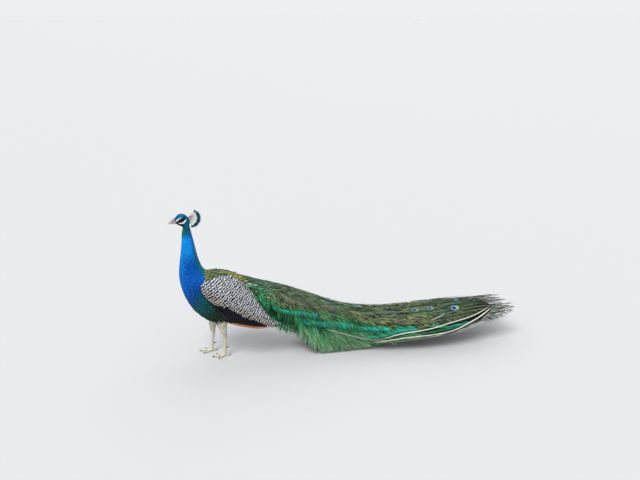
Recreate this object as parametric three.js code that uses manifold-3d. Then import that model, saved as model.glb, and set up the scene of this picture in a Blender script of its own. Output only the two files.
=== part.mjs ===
// A male Indian peafowl standing with its train folded, as a still life-size model.
// Millimetres, +Z up, head towards -Y, the bird's left side at +X.
// Every place below is measured from the ground point midway between the feet;
// the last lines move the finished bird so that its origin is the bottom centre of its box.

import * as THREE from "three";
import { mergeVertices } from "three/addons/utils/BufferGeometryUtils.js";
import Module from "manifold-3d";

const wasm = await Module();
wasm.setup();

// ---------------------------------------------------------------- driving dimensions

const GAP = 0.3; // clearance between neighbouring pieces
const BODY_SIDES = 18; // points round a section of the body or the train
const TOE_SIDES = 6;

// Each rib of the body: back outline [y, z], front or belly outline [y, z], half width.
const BODY_RIBS = [
  [-116, 752, -146, 748, 17],
  [-107, 700, -157, 700, 23],
  [-98, 652, -161, 654, 30],
  [-87, 590, -170, 592, 39],
  [-68, 522, -182, 524, 49],
  [-40, 488, -186, 452, 67],
  [5, 486, -168, 364, 86],
  [52, 480, -122, 272, 98],
  [102, 464, -48, 205, 101],
  [158, 445, 38, 182, 97],
  [220, 423, 125, 188, 88],
  [285, 399, 212, 214, 76],
  [345, 375, 290, 244, 66],
];
const BODY_STEPS = 24;

// Each rib of the train: y, top z, underside z, half width.
const TRAIN_RIBS = [
  [215, 422, 330, 58],
  [300, 395, 240, 82],
  [400, 359, 164, 100],
  [520, 306, 100, 114],
  [650, 246, 66, 128],
  [790, 206, 42, 146],
  [930, 183, 34, 163],
  [1070, 180, 38, 175],
  [1210, 186, 52, 179],
  [1340, 194, 80, 168],
  [1440, 196, 112, 144],
  [1510, 191, 134, 108],
  [1560, 183, 150, 62],
];
const TRAIN_STEPS = 17;
const TRAIN_SQUARENESS = 0.92;

// Loose feather ends that fan out past the train: across the width, and how far they reach.
const TRAIN_TIPS = {
  count: 11,
  root: new THREE.Vector3(0, 1400, 150),
  rootSpread: 110, // how far to the side the outermost ones start
  fanDeg: 13,
  reachMiddle: 302,
  reachSide: 205,
  rowSetback: 26,
  rise: [24, 50], // lower row and upper row, at the tips
  sideLoss: 0.55, // share of the rise that the outermost ones lack
  course: [[0, 0], [0.35, 0.05], [0.65, 0.3], [0.87, 0.7], [1, 1]], // shares of reach and rise
  taper: [1, 1, 1, 0.9, 0.3],
  halfWidth: 15,
  halfThick: 2.6,
};

// Side barbs that hang from the train to the ground: y, x and z of the top edge,
// then x and z of the hem, which trails behind the top edge.
const FRINGE_RIBS = [
  [370, 86, 272, 94, 185],
  [430, 97, 240, 102, 85],
  [490, 104, 205, 104, 0],
  [620, 119, 150, 101, 0],
  [740, 130, 118, 92, 0],
  [830, 138, 104, 84, 0],
  [900, 146, 98, 88, 26],
  [960, 152, 96, 108, 58],
];
const FRINGE = {
  teeth: 9,
  ringsPerTooth: 3,
  toothRise: 17,
  trail: 45,
  waistShare: 0.55,
  waistOut: 5,
  thickWaist: 10,
  thickHem: 3.4,
};

// The true tail under the train: y, top z, underside z, half width.
const TAIL_RIBS = [
  [225, 262, 215, 34],
  [330, 215, 178, 56],
  [450, 158, 126, 80],
  [560, 110, 86, 96],
  [640, 80, 62, 100],
  [680, 66, 54, 84],
];
const TAIL_LOFT = { steps: 9, sides: 16, squareness: 0.7 };

// Each rib of the skull: y, crown z, throat z, half width.
const SKULL_RIBS = [
  [-181, 792, 753, 9.5],
  [-172, 802, 748, 13.5],
  [-161, 807.5, 742, 17.5],
  [-149, 808, 737, 19.5],
  [-137, 804, 733, 20],
  [-126, 795, 733, 18],
  [-117, 783, 741, 13],
  [-112, 770, 750, 6],
];
const BILL_RIBS = [
  [-174, 793, 752, 9.5],
  [-188, 787.5, 753, 8.2],
  [-201, 781, 753.5, 6.8],
  [-213, 774, 754, 5.2],
  [-222, 767, 754, 3.6],
  [-228.5, 758, 752.5, 1.4],
];
const SKULL_LOFT = { steps: 9, sides: 16 };
const BILL_LOFT = { steps: 8, sides: 10, squareness: 0.9 };
const BILL_BASE = [-191, 800, -177, 745]; // y and z of the top, then of the bottom
const GAPE = [-230, 757.5, -170, 765];

const EYE = { y: -154, z: 777, x: 12.8, radius: 7.2 };

// The crest fan stands on the back of the crown.
const CREST = {
  root: new THREE.Vector3(0, -119, 786),
  feathers: 15,
  fromDeg: 42, // above the horizontal, at the top of the fan
  toDeg: -73,
  lengthTop: 50,
  lengthLow: 58,
  tipLength: 15,
  tipWidth: 7.4,
  tipHalfThick: 1.1,
  knob: 6, // radius of the root that the shafts stand on
  shaftStart: 5,
  shaft: 0.9,
  shaftRoot: 1.08,
  arch: 4, // how far each shaft bows upwards
  spread: 5.5, // sideways, either side of the middle
};

// Each rib of the folded wing: upper edge [y, z], lower edge [y, z], outer face x at
// the upper edge, the middle and the lower edge, and thickness.
const WING_RIBS = [
  [-82, 456, -84, 438, 74, 77, 78, 10],
  [-52, 466, -62, 398, 76, 93, 90, 36],
  [-8, 476, -22, 345, 66, 108, 101, 50],
  [45, 470, 15, 285, 66, 118, 107, 54],
  [100, 448, 60, 236, 74, 119, 106, 50],
  [150, 406, 115, 214, 86, 115, 103, 40],
  [198, 345, 178, 202, 92, 109, 100, 27],
  [245, 280, 236, 192, 92, 102, 95, 15],
  [285, 222, 280, 184, 90, 95, 90, 8],
  [308, 190, 306, 180, 88, 90, 88, 4],
];
const WING_STEPS = 13;
const WING_ACROSS = 6;
const WING_RIM = 2.5; // thickness along the edges
const WING_FULLNESS = 0.25; // the lower, the steeper the edges
// Lines in side view that part the wing: coverts above, flight feathers below.
const COVERT_LINE = [-60, 388, 300, 188];
const PRIMARY_LINE = [30, 246, 262, 196];

const LEGS = {
  left: { side: 1, x: 34, footY: 30, hockY: 37, topY: 20, toeOut: 6 },
  right: { side: -1, x: -34, footY: -38, hockY: -25, topY: -18, toeOut: 6 },
};
const HOCK_Z = 119;
const ANKLE_Z = 21;
const THIGH = { topZ: 235, middleZ: 172, cuffZ: 127, out: [10, 4], radii: [36, 25, 16], flatness: 0.78 };
const SHANK = { headZ: 133, middleZ: 70, radii: [8, 10.2, 7.4, 8.8], flatness: 0.82 };
const SPUR = { z: 48, back: 7, reach: [9, 18], rise: [2, 8], radii: [4.2, 3, 0.6], clearance: 0.39 };
const TOES = [
  { name: "middle", deg: 0, length: 58, radius: 6, claw: 14 },
  { name: "inner", deg: 36, length: 40, radius: 5.4, claw: 12 },
  { name: "outer", deg: -34, length: 44, radius: 5.4, claw: 12 },
  { name: "hind", deg: 172, length: 22, radius: 4.8, claw: 11 },
];
const TOE_TAPER = [1.15, 1, 0.92, 0.72];
const CLAW_TAPER = [0.64, 0.5];
const CLAW_POINT = 0.5;
const SOLE_CUT = 0.4; // how much the ground flattens the pads

// Lines in side view where the body parts into pieces, and places along the train.
const CUTS = {
  head: [-170, 727, -100, 733],
  neckUpper: [-180, 624, -80, 620],
  neckLower: [-190, 506, -50, 513],
  breast: [-22, 500, -92, 262],
  trunk: [205, 440, 165, 190],
  rump: [330, 440, 290, 190],
  trainRootY: 620,
  trainMiddleY: 1060,
};

// ---------------------------------------------------------------- shared tools

// Rows of numbers read as smooth curves: column values at 0..1 along the rows.
function along(rows) {
  const columns = rows[0].map(
    (_, c) => new THREE.SplineCurve(rows.map((row, i) => new THREE.Vector2(i, row[c]))),
  );
  return (t) => columns.map((curve) => curve.getPoint(t).y);
}

// A closed geometry through rings of points, with a point at the middle of each end.
function throughRings(rings) {
  const count = rings[0].length;
  const middle = (ring) =>
    ring.reduce((sum, p) => sum.add(p), new THREE.Vector3()).divideScalar(count);
  const points = [middle(rings[0]), middle(rings.at(-1)), ...rings.flat()];
  const at = (ring, i) => 2 + ring * count + (i % count);
  const faces = [];
  for (let i = 0; i < count; i++) {
    faces.push([0, at(0, i + 1), at(0, i)]);
    faces.push([1, at(rings.length - 1, i), at(rings.length - 1, i + 1)]);
    for (let r = 0; r + 1 < rings.length; r++) {
      faces.push([at(r, i), at(r, i + 1), at(r + 1, i + 1)]);
      faces.push([at(r, i), at(r + 1, i + 1), at(r + 1, i)]);
    }
  }
  const volume = faces.reduce((sum, [a, b, c]) => {
    const cross = new THREE.Vector3().crossVectors(points[b], points[c]);
    return sum + points[a].dot(cross);
  }, 0);
  const outward = volume > 0 ? faces : faces.map(([a, b, c]) => [a, c, b]);
  const geometry = new THREE.BufferGeometry().setFromPoints(points);
  geometry.setIndex(outward.flat());
  return geometry;
}

// An oval ring round a centre, through centre + across and centre + up.
function oval(centre, across, up, sides, squareness = 1) {
  const ring = [];
  for (let i = 0; i < sides; i++) {
    const a = (2 * Math.PI * i) / sides;
    const c = Math.sign(Math.cos(a)) * Math.abs(Math.cos(a)) ** squareness;
    const s = Math.sign(Math.sin(a)) * Math.abs(Math.sin(a)) ** squareness;
    ring.push(centre.clone().addScaledVector(across, c).addScaledVector(up, s));
  }
  return ring;
}

function solidOf(geometry) {
  const bare = geometry.clone();
  bare.deleteAttribute("normal");
  bare.deleteAttribute("uv");
  const merged = mergeVertices(bare, 1e-4);
  return new wasm.Manifold(
    new wasm.Mesh({
      numProp: 3,
      vertProperties: new Float32Array(merged.attributes.position.array),
      triVerts: new Uint32Array(merged.index.array),
    }),
  );
}

function geometryOf(solid) {
  const mesh = solid.getMesh();
  const geometry = new THREE.BufferGeometry();
  const places = new THREE.BufferAttribute(new Float32Array(mesh.vertProperties), 3);
  geometry.setAttribute("position", places);
  geometry.setIndex(new THREE.BufferAttribute(new Uint32Array(mesh.triVerts), 1));
  geometry.computeVertexNormals();
  return geometry;
}

const joined = (solids) => solids.reduce((all, solid) => all.add(solid));

// The largest body of a cut solid, without the slivers that a cut may leave.
const largest = (solid) => solid.decompose().sort((a, b) => b.volume() - a.volume())[0];

// The half of space past a plane through point, a little beyond it along normal.
function halfSpace(point, normal) {
  const reach = 4000;
  const block = new THREE.BoxGeometry(reach, reach, reach);
  const turn = new THREE.Quaternion().setFromUnitVectors(
    new THREE.Vector3(0, 0, 1),
    normal.clone().normalize(),
  );
  block.translate(0, 0, reach / 2 + GAP / 2);
  block.applyQuaternion(turn);
  block.translate(point.x, point.y, point.z);
  return solidOf(block);
}

// [the part past the plane, the part before it], with a gap between them.
function parted(solid, point, normal) {
  return [
    largest(solid.intersect(halfSpace(point, normal))),
    largest(solid.intersect(halfSpace(point, normal.clone().negate()))),
  ];
}

// A plane across the side view, through two [y, z] points: its point and its normal,
// which points to the left of the way from the first to the second.
function sideCut(y0, z0, y1, z1) {
  return [new THREE.Vector3(0, y0, z0), new THREE.Vector3(0, z0 - z1, y1 - y0)];
}

const mirrored = (geometry) => {
  const copy = geometry.clone();
  copy.scale(-1, 1, 1);
  const index = copy.index.array;
  for (let i = 0; i < index.length; i += 3)
    [index[i + 1], index[i + 2]] = [index[i + 2], index[i + 1]];
  return copy;
};

// A round tapering limb along a curve, with a radius for each of its points.
function limb(points, radii, sides, steps, flatness = 1) {
  const curve = new THREE.CatmullRomCurve3(points);
  const radius = along(radii.map((r) => [r]));
  const rings = [];
  for (let i = 0; i <= steps; i++) {
    const t = i / steps;
    const way = curve.getTangent(t);
    const reference = Math.abs(way.x) > 0.9 ? new THREE.Vector3(0, 0, 1) : new THREE.Vector3(1, 0, 0);
    const up = new THREE.Vector3().crossVectors(way, reference).normalize();
    const across = new THREE.Vector3().crossVectors(up, way).normalize();
    const [r] = radius(t);
    rings.push(
      oval(curve.getPoint(t), across.multiplyScalar(r * flatness), up.multiplyScalar(r), sides),
    );
  }
  return throughRings(rings);
}

// ---------------------------------------------------------------- body and train

// Lofts along the ribs. Growing one by the gap makes the tool that cuts its neighbours.
function bodyLoft(grow = 0) {
  const rib = along(BODY_RIBS);
  const rings = [];
  for (let i = 0; i <= BODY_STEPS; i++) {
    const [backY, backZ, frontY, frontZ, half] = rib(i / BODY_STEPS);
    const centre = new THREE.Vector3(0, (backY + frontY) / 2, (backZ + frontZ) / 2);
    const up = new THREE.Vector3(0, (backY - frontY) / 2, (backZ - frontZ) / 2);
    up.setLength(up.length() + grow);
    rings.push(oval(centre, new THREE.Vector3(half + grow, 0, 0), up, BODY_SIDES));
  }
  return solidOf(throughRings(rings));
}

function uprightLoft(ribs, steps, sides, grow = 0, squareness = 1) {
  const rib = along(ribs);
  const rings = [];
  for (let i = 0; i <= steps; i++) {
    const [y, top, bottom, half] = rib(i / steps);
    const centre = new THREE.Vector3(0, y, (top + bottom) / 2);
    const up = new THREE.Vector3(0, 0, (top - bottom) / 2 + grow);
    rings.push(oval(centre, new THREE.Vector3(half + grow, 0, 0), up, sides, squareness));
  }
  return solidOf(throughRings(rings));
}

const trainLoft = (grow) =>
  uprightLoft(TRAIN_RIBS, TRAIN_STEPS, BODY_SIDES, grow, TRAIN_SQUARENESS);
const skullLoft = (grow) => uprightLoft(SKULL_RIBS, SKULL_LOFT.steps, SKULL_LOFT.sides, grow);

// The feather ends stand in two rows, the upper one a little shorter.
function trainTip(i, grow = 0) {
  const { count, reachMiddle, reachSide, halfWidth, halfThick } = TRAIN_TIPS;
  const row = i % 2;
  const share = (2 * i) / (count - 1) - 1;
  const angle = THREE.MathUtils.degToRad(TRAIN_TIPS.fanDeg * share);
  const fullReach = THREE.MathUtils.lerp(reachMiddle, reachSide, share ** 2);
  const reach = fullReach - row * TRAIN_TIPS.rowSetback;
  const height = TRAIN_TIPS.rise[row] * (1 - TRAIN_TIPS.sideLoss * share ** 2);
  const places = TRAIN_TIPS.course.map(([part, lift]) => {
    const x = TRAIN_TIPS.rootSpread * share + Math.sin(angle) * reach * part;
    const onward = new THREE.Vector3(x, Math.cos(angle) * reach * part, lift * height);
    return onward.add(TRAIN_TIPS.root);
  });
  const radii = TRAIN_TIPS.taper.map((r) => r * halfThick + grow);
  return solidOf(limb(places, radii, 4, 5, halfWidth / halfThick));
}

const core = joined([bodyLoft(), trainLoft(), skullLoft()]);
const coreGrown = joined([bodyLoft(GAP), trainLoft(GAP), skullLoft(GAP)]);

// ---------------------------------------------------------------- the bird's pieces

const bird = new THREE.Group();

function add(name, solid, material) {
  const mesh = new THREE.Mesh(geometryOf(solid), material);
  mesh.name = name;
  bird.add(mesh);
}

function finish(color, roughness, metalness = 0) {
  return new THREE.MeshStandardMaterial({ color, roughness, metalness });
}
const BLUE = finish(0x0f4fc4, 0.45, 0.2);
const TEAL = finish(0x0b4a50, 0.5, 0.2);
const GOLD_GREEN = finish(0x7d8438, 0.5, 0.2);
const BARRED = finish(0xa9a391, 0.7);
const MIDNIGHT = finish(0x10141f, 0.5, 0.1);
const CHESTNUT = finish(0xb06a3c, 0.7);
const TRAIN = finish(0x47603f, 0.55, 0.2);
const FRINGE_GREEN = finish(0x2c7a52, 0.6, 0.1);
const TAIL = finish(0x5a4a3a, 0.7);
const BUFF = finish(0xcbb994, 0.8);
const SCUTE = finish(0xb8a995, 0.6);
const HORN = finish(0x9a8f86, 0.4);
const CLAW = finish(0x4a4038, 0.4);
const IRIS = finish(0x2a170d, 0.1);

function addHead(whole) {
  const { steps, sides, squareness } = BILL_LOFT;
  const beak = uprightLoft(BILL_RIBS, steps, sides, 0, squareness);
  const [behind, bill] = parted(whole.add(beak), ...sideCut(...BILL_BASE));
  const [upper, lower] = parted(bill, ...sideCut(...GAPE));
  add("bill_upper", upper, HORN);
  add("bill_lower", lower, HORN);

  let skull = behind;
  for (const [name, side] of [["left", 1], ["right", -1]]) {
    const ball = (radius) => {
      const sphere = new THREE.SphereGeometry(radius, 12, 8);
      sphere.translate(side * EYE.x, EYE.y, EYE.z);
      return solidOf(sphere);
    };
    skull = largest(skull.subtract(ball(EYE.radius + GAP)));
    add("eye_" + name, ball(EYE.radius), IRIS);
  }
  add("head", skull, BLUE);
}

// A fan of bare shafts that end in small webs, on one root.
function addCrest() {
  const { root, feathers, shaft } = CREST;
  const knob = new THREE.SphereGeometry(CREST.knob, 10, 6);
  knob.translate(root.x, root.y, root.z);
  const pieces = [solidOf(knob)];
  for (let i = 0; i < feathers; i++) {
    const share = i / (feathers - 1);
    const degrees = THREE.MathUtils.lerp(CREST.fromDeg, CREST.toDeg, share);
    const angle = THREE.MathUtils.degToRad(degrees);
    const sideways = CREST.spread * (i % 2 ? 1 : -1) * Math.sin(Math.PI * share);
    const reach = THREE.MathUtils.lerp(CREST.lengthTop, CREST.lengthLow, share);
    const way = new THREE.Vector3(sideways / reach, Math.cos(angle), Math.sin(angle));
    const bow = new THREE.Vector3(0, -Math.sin(angle), Math.cos(angle));
    const end = root.clone().addScaledVector(way, reach);
    const half = root.clone().addScaledVector(way, reach / 2).addScaledVector(bow, CREST.arch);
    const start = root.clone().addScaledVector(way, CREST.shaftStart);
    pieces.push(solidOf(limb([start, half, end], [CREST.shaftRoot, shaft, shaft], 4, 2)));
    const web = new THREE.SphereGeometry(1, 5, 4);
    web.scale(CREST.tipHalfThick, CREST.tipLength / 2, CREST.tipWidth / 2);
    web.rotateX(angle);
    web.translate(end.x, end.y, end.z);
    pieces.push(solidOf(web));
  }
  add("crest", largest(joined(pieces).subtract(coreGrown)), MIDNIGHT);
}

// A lens that lies on the side of the trunk, cut to it, and parted into its feather groups.
function wingLens() {
  const rib = along(WING_RIBS);
  const rings = [];
  for (let i = 0; i <= WING_STEPS; i++) {
    const [upY, upZ, lowY, lowZ, xUp, xMid, xLow, thick] = rib(i / WING_STEPS);
    const outer = [];
    const inner = [];
    for (let j = 0; j <= WING_ACROSS; j++) {
      const s = j / WING_ACROSS;
      const bulge = 4 * s * (1 - s);
      const x = xUp * (1 - s) + xLow * s + bulge * (xMid - (xUp + xLow) / 2);
      const y = upY + (lowY - upY) * s;
      const z = upZ + (lowZ - upZ) * s;
      outer.push(new THREE.Vector3(x, y, z));
      inner.unshift(new THREE.Vector3(x - WING_RIM - thick * bulge ** WING_FULLNESS, y, z));
    }
    rings.push([...outer, ...inner]);
  }
  return solidOf(throughRings(rings));
}

function addWings() {
  const wing = largest(wingLens().subtract(coreGrown));
  const [coverts, flight] = parted(wing, ...sideCut(...COVERT_LINE));
  const [secondaries, primaries] = parted(flight, ...sideCut(...PRIMARY_LINE));
  for (const [name, turn] of [["left", (g) => g], ["right", mirrored]]) {
    const placed = (solid) => solidOf(turn(geometryOf(solid)));
    add(`wing_${name}_coverts`, placed(coverts), BARRED);
    add(`wing_${name}_secondaries`, placed(secondaries), MIDNIGHT);
    add(`wing_${name}_primaries`, placed(primaries), CHESTNUT);
  }
}

function addLeg(name, { side, x, footY, hockY, topY, toeOut }) {
  const at = (y, z, out = 0) => new THREE.Vector3(x + side * out, y, z);
  const up = new THREE.Vector3(0, 0, 1);
  const thighPlaces = [
    at(topY, THIGH.topZ, THIGH.out[0]),
    at((topY + hockY) / 2 - 4, THIGH.middleZ, THIGH.out[1]),
    at(hockY - 6, HOCK_Z + 4),
  ];
  const thigh = limb(thighPlaces, THIGH.radii, 12, 4, THIGH.flatness);
  const shankPlaces = [
    at(hockY, SHANK.headZ),
    at(hockY, HOCK_Z),
    at((footY + hockY) / 2, SHANK.middleZ),
    at(footY, -1),
  ];
  const shank = (grow) => {
    const radii = SHANK.radii.map((radius) => radius + grow);
    return limb(shankPlaces, radii, 8, 7, SHANK.flatness);
  };
  const toes = TOES.map((toe) => {
    const angle = THREE.MathUtils.degToRad(toe.deg * side + toeOut * side);
    const way = new THREE.Vector3(Math.sin(angle), -Math.cos(angle), 0);
    const point = (reach, z) => at(footY, z).addScaledVector(way, reach);
    return { ...toe, way, point };
  });
  // A toe tapers to its claw with the whole of its pad on the ground.
  const resting = (radius) => radius * Math.cos(Math.PI / TOE_SIDES) - SOLE_CUT;
  const toeSolids = toes.flatMap(({ point, radius, length, claw }) => {
    const radii = TOE_TAPER.map((share) => share * radius);
    const pads = radii.slice(1).map((r, i) => point(length * (0.35 + 0.325 * i), resting(r)));
    const horn = [
      point(length - 3, radii[3]),
      point(length + claw * 0.55, radii[3] + 0.8),
      point(length + claw, 0.9),
    ];
    return [
      limb([at(footY, 9), ...pads], radii, TOE_SIDES, 4),
      limb(horn, [...CLAW_TAPER.map((share) => share * radius), CLAW_POINT], 5, 3),
    ];
  });
  const floor = halfSpace(new THREE.Vector3(0, 0, -GAP / 2), up);
  const leg = joined([thigh, shank(0), ...toeSolids].map(solidOf));
  const [above, foot] = parted(
    largest(leg.subtract(coreGrown).intersect(floor)),
    at(0, ANKLE_Z),
    up,
  );
  const [feathered, scaly] = parted(above, at(0, THIGH.cuffZ), up);
  add(`thigh_${name}`, feathered, BUFF);
  add(`shank_${name}`, scaly, SCUTE);

  // A thin cut across the end of each toe frees its claw.
  const cuts = toes.map(({ way, point, length }) => {
    const slice = new THREE.BoxGeometry(20, GAP, 20);
    slice.rotateZ(Math.atan2(way.y, way.x) - Math.PI / 2);
    const middle = point(length + 0.5, 5);
    slice.translate(middle.x, middle.y, middle.z);
    return solidOf(slice);
  });
  const [sole, ...claws] = foot
    .subtract(joined(cuts))
    .decompose()
    .sort((a, b) => b.volume() - a.volume());
  add(`foot_${name}`, sole, SCUTE);
  for (const { name: toeName, point, length } of toes) {
    const middle = point(length + 4, 4);
    const distance = (solid) => {
      const { min, max } = solid.boundingBox();
      const centre = new THREE.Vector3(...min).add(new THREE.Vector3(...max)).divideScalar(2);
      return middle.distanceTo(centre);
    };
    const nearest = claws.sort((a, b) => distance(a) - distance(b))[0];
    add(`claw_${name}_${toeName}`, nearest, CLAW);
  }

  const root = at(THREE.MathUtils.lerp(footY, hockY, 0.25) + SPUR.back, SPUR.z, -1);
  const spurPlaces = [root];
  SPUR.reach.forEach((reach, i) => {
    spurPlaces.push(root.clone().add(new THREE.Vector3(0, reach, SPUR.rise[i])));
  });
  const spur = solidOf(limb(spurPlaces, SPUR.radii, 7, 3));
  add(`spur_${name}`, largest(spur.subtract(solidOf(shank(SPUR.clearance)))), CLAW);
}

// A hanging curtain of barbs, toothed along its hem, on each side of the train.
function addFringes() {
  const { ringsPerTooth, toothRise, trail, thickWaist, thickHem } = FRINGE;
  const rib = along(FRINGE_RIBS);
  const count = FRINGE.teeth * ringsPerTooth;
  const rings = [];
  for (let i = 0; i <= count; i++) {
    const [y, xTop, zTop, xHem, zHem] = rib(i / count);
    const notch = i % ringsPerTooth === 0 ? toothRise : 0;
    const top = new THREE.Vector3(xTop, y, zTop);
    const hem = new THREE.Vector3(xHem, y + trail, Math.max(zHem, 0) + notch);
    const waist = top.clone().lerp(hem, FRINGE.waistShare);
    waist.x += FRINGE.waistOut;
    const inward = (place, by) => place.clone().add(new THREE.Vector3(-by, 0, 0));
    rings.push([top, waist, hem, inward(hem, thickHem), inward(waist, thickWaist)]);
  }
  const curtain = largest(solidOf(throughRings(rings)).subtract(coreGrown));
  add("fringe_left", curtain, FRINGE_GREEN);
  add("fringe_right", solidOf(mirrored(geometryOf(curtain))), FRINGE_GREEN);
}

// Each loose feather end is cut clear of the train and of the ends before it.
function addTrainTips() {
  let taken = coreGrown;
  for (let i = 0; i < TRAIN_TIPS.count; i++) {
    add(`train_tip_${i + 1}`, largest(trainTip(i).subtract(taken)), TRAIN);
    taken = taken.add(trainTip(i, GAP));
  }
}

function addTail() {
  const { steps, sides, squareness } = TAIL_LOFT;
  const fan = uprightLoft(TAIL_RIBS, steps, sides, 0, squareness);
  add("tail", largest(fan.subtract(coreGrown)), TAIL);
}

// ---------------------------------------------------------------- assembly

const [headWhole, belowHead] = parted(core, ...sideCut(...CUTS.head));
const [neckUpper, belowUpper] = parted(belowHead, ...sideCut(...CUTS.neckUpper));
const [neckLower, belowNeck] = parted(belowUpper, ...sideCut(...CUTS.neckLower));
const [fromTrunk, breast] = parted(belowNeck, ...sideCut(...CUTS.breast));
const [fromRump, trunk] = parted(fromTrunk, ...sideCut(...CUTS.trunk));
const [fromTrain, rump] = parted(fromRump, ...sideCut(...CUTS.rump));
const acrossY = (y) => [new THREE.Vector3(0, y, 0), new THREE.Vector3(0, 1, 0)];
const [fromMiddle, trainRoot] = parted(fromTrain, ...acrossY(CUTS.trainRootY));
const [trainEnd, trainMiddle] = parted(fromMiddle, ...acrossY(CUTS.trainMiddleY));

addHead(headWhole);
addCrest();
add("neck_upper", neckUpper, BLUE);
add("neck_lower", neckLower, BLUE);
add("breast", breast, BLUE);
add("trunk", trunk, TEAL);
add("rump", rump, GOLD_GREEN);
add("train_root", trainRoot, TRAIN);
add("train_middle", trainMiddle, TRAIN);
add("train_end", trainEnd, TRAIN);
addTrainTips();
addFringes();
addTail();
addWings();
for (const [name, leg] of Object.entries(LEGS)) addLeg(name, leg);

const box = new THREE.Box3().setFromObject(bird);
const centre = box.getCenter(new THREE.Vector3());
bird.position.set(-centre.x, -centre.y, -box.min.z);

export default bird;
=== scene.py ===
"""A standing peacock with its train folded, dressed in skin, feathers, horn and scales.

The file is laid out as an add-on and run as a script. Lengths are metres. Places are measured
in the bird's own terms: x to its left, y backwards and z up from the ground between its feet.
"""

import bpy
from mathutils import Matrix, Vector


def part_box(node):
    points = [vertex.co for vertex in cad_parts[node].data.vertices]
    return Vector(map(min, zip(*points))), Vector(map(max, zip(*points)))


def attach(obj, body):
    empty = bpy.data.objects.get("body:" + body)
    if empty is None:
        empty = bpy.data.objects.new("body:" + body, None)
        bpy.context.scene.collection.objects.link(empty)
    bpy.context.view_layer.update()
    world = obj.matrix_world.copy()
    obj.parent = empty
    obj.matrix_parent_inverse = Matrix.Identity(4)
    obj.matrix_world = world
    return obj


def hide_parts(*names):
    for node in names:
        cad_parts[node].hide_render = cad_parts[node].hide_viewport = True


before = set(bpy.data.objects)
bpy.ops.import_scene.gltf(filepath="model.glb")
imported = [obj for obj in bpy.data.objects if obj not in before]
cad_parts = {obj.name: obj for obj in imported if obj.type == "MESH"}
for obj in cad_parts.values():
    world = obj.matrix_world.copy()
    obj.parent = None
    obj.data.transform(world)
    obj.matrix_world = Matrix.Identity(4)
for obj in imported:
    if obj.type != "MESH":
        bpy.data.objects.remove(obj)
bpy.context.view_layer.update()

import math

import bpy
import numpy as np
from bpy.props import FloatProperty, FloatVectorProperty, PointerProperty
from mathutils import Vector
from mathutils.bvhtree import BVHTree
from mathutils.kdtree import KDTree

bl_info = {
    "name": "Museum Peacock",
    "version": (1, 0, 0),
    "blender": (4, 5, 0),
    "location": "View3D > Sidebar > Peacock",
    "description": "Dresses the solid model of a standing peacock in feathers, skin, horn and scales",
    "category": "Object",
}


def middle(node):
    """The centre of a CAD node's box."""
    low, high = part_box(node)
    return (Vector(low) + Vector(high)) / 2


# ---------------- places taken from the frame

EYE_BEHIND_FEET = -0.154
EYE = np.array([0.0, EYE_BEHIND_FEET, middle("eye_left").z])
EYE_OUT = middle("eye_left").x
EYE_RADIUS = (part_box("eye_left")[1][0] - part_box("eye_left")[0][0]) / 2
FEET = np.array([0.0, middle("eye_left").y - EYE_BEHIND_FEET, 0.0])

SIDES = ((1, "left"), (-1, "right"))
BODY = ["head", "neck_upper", "neck_lower", "breast", "trunk", "rump"]
THIGHS = [f"thigh_{word}" for _, word in SIDES]
WINGS = [f"wing_{word}_{part}" for _, word in SIDES for part in ("coverts", "secondaries", "primaries")]
TRAIN = ["train_root", "train_middle", "train_end"]
TIPS = [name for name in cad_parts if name.startswith("train_tip_")]

# The line that the plumage follows, from the bill over the neck and along the body: y, z.
AXIS = [
    (-0.215, 0.768), (-0.180, 0.772), (-0.150, 0.768), (-0.134, 0.745), (-0.132, 0.700), (-0.129, 0.640),
    (-0.127, 0.580), (-0.120, 0.515), (-0.100, 0.462), (-0.062, 0.418), (-0.010, 0.378), (0.050, 0.348),
    (0.120, 0.328), (0.190, 0.318), (0.270, 0.312), (0.360, 0.275), (0.480, 0.222), (0.620, 0.164),
    (0.790, 0.125), (0.930, 0.109), (1.070, 0.109), (1.210, 0.119), (1.340, 0.137), (1.560, 0.167),
]

# The width of one feather's patch on an unrolled surface that is 1 wide.
PATCH_SIZE = 0.003

rng = np.random.default_rng(7)


# ---------------- small geometry tools


def unit(v):
    return v / np.maximum(np.linalg.norm(v, axis=-1, keepdims=True), 1e-12)


def level(way, up):
    """Directions laid flat on surfaces with the given normals."""
    return unit(way - up * (way * up).sum(-1, keepdims=True))


def smooth(low, high, x):
    """0 below low, 1 above high, with an even turn between them."""
    t = np.clip((x - low) / (high - low), 0, 1)
    return t * t * (3 - 2 * t)


def stroke(y, z, line):
    """How far places lie inside a stroke drawn along a line of y, z and half width, in metres."""
    inside = np.full(np.shape(y), -1.0)
    for (y0, z0, half), (y1, z1, half_end) in zip(line, line[1:]):
        share = ((y - y0) * (y1 - y0) + (z - z0) * (z1 - z0)) / ((y1 - y0) ** 2 + (z1 - z0) ** 2)
        share = np.clip(share, 0, 1)
        apart = np.hypot(y - y0 - share * (y1 - y0), z - z0 - share * (z1 - z0))
        inside = np.maximum(inside, half + share * (half_end - half) - apart)
    return inside


def reach_along(line):
    """How far along a line each of its corners is."""
    return np.concatenate([[0], np.cumsum(np.linalg.norm(np.diff(line, axis=0), axis=1))])


def at_reach(line, reach):
    """Places on a line, given how far along it each is."""
    corners = reach_along(line)
    return np.stack([np.interp(reach, corners, column) for column in line.T], 1)


def read_off(pairs, at):
    """The second number of a table's pairs, for first numbers on or between its rows."""
    return np.interp(at, *np.transpose(pairs))


AXIS_LINE = np.array([(0.0, y, z) for y, z in AXIS])
AXIS_LENGTH = reach_along(AXIS_LINE)[-1]


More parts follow.
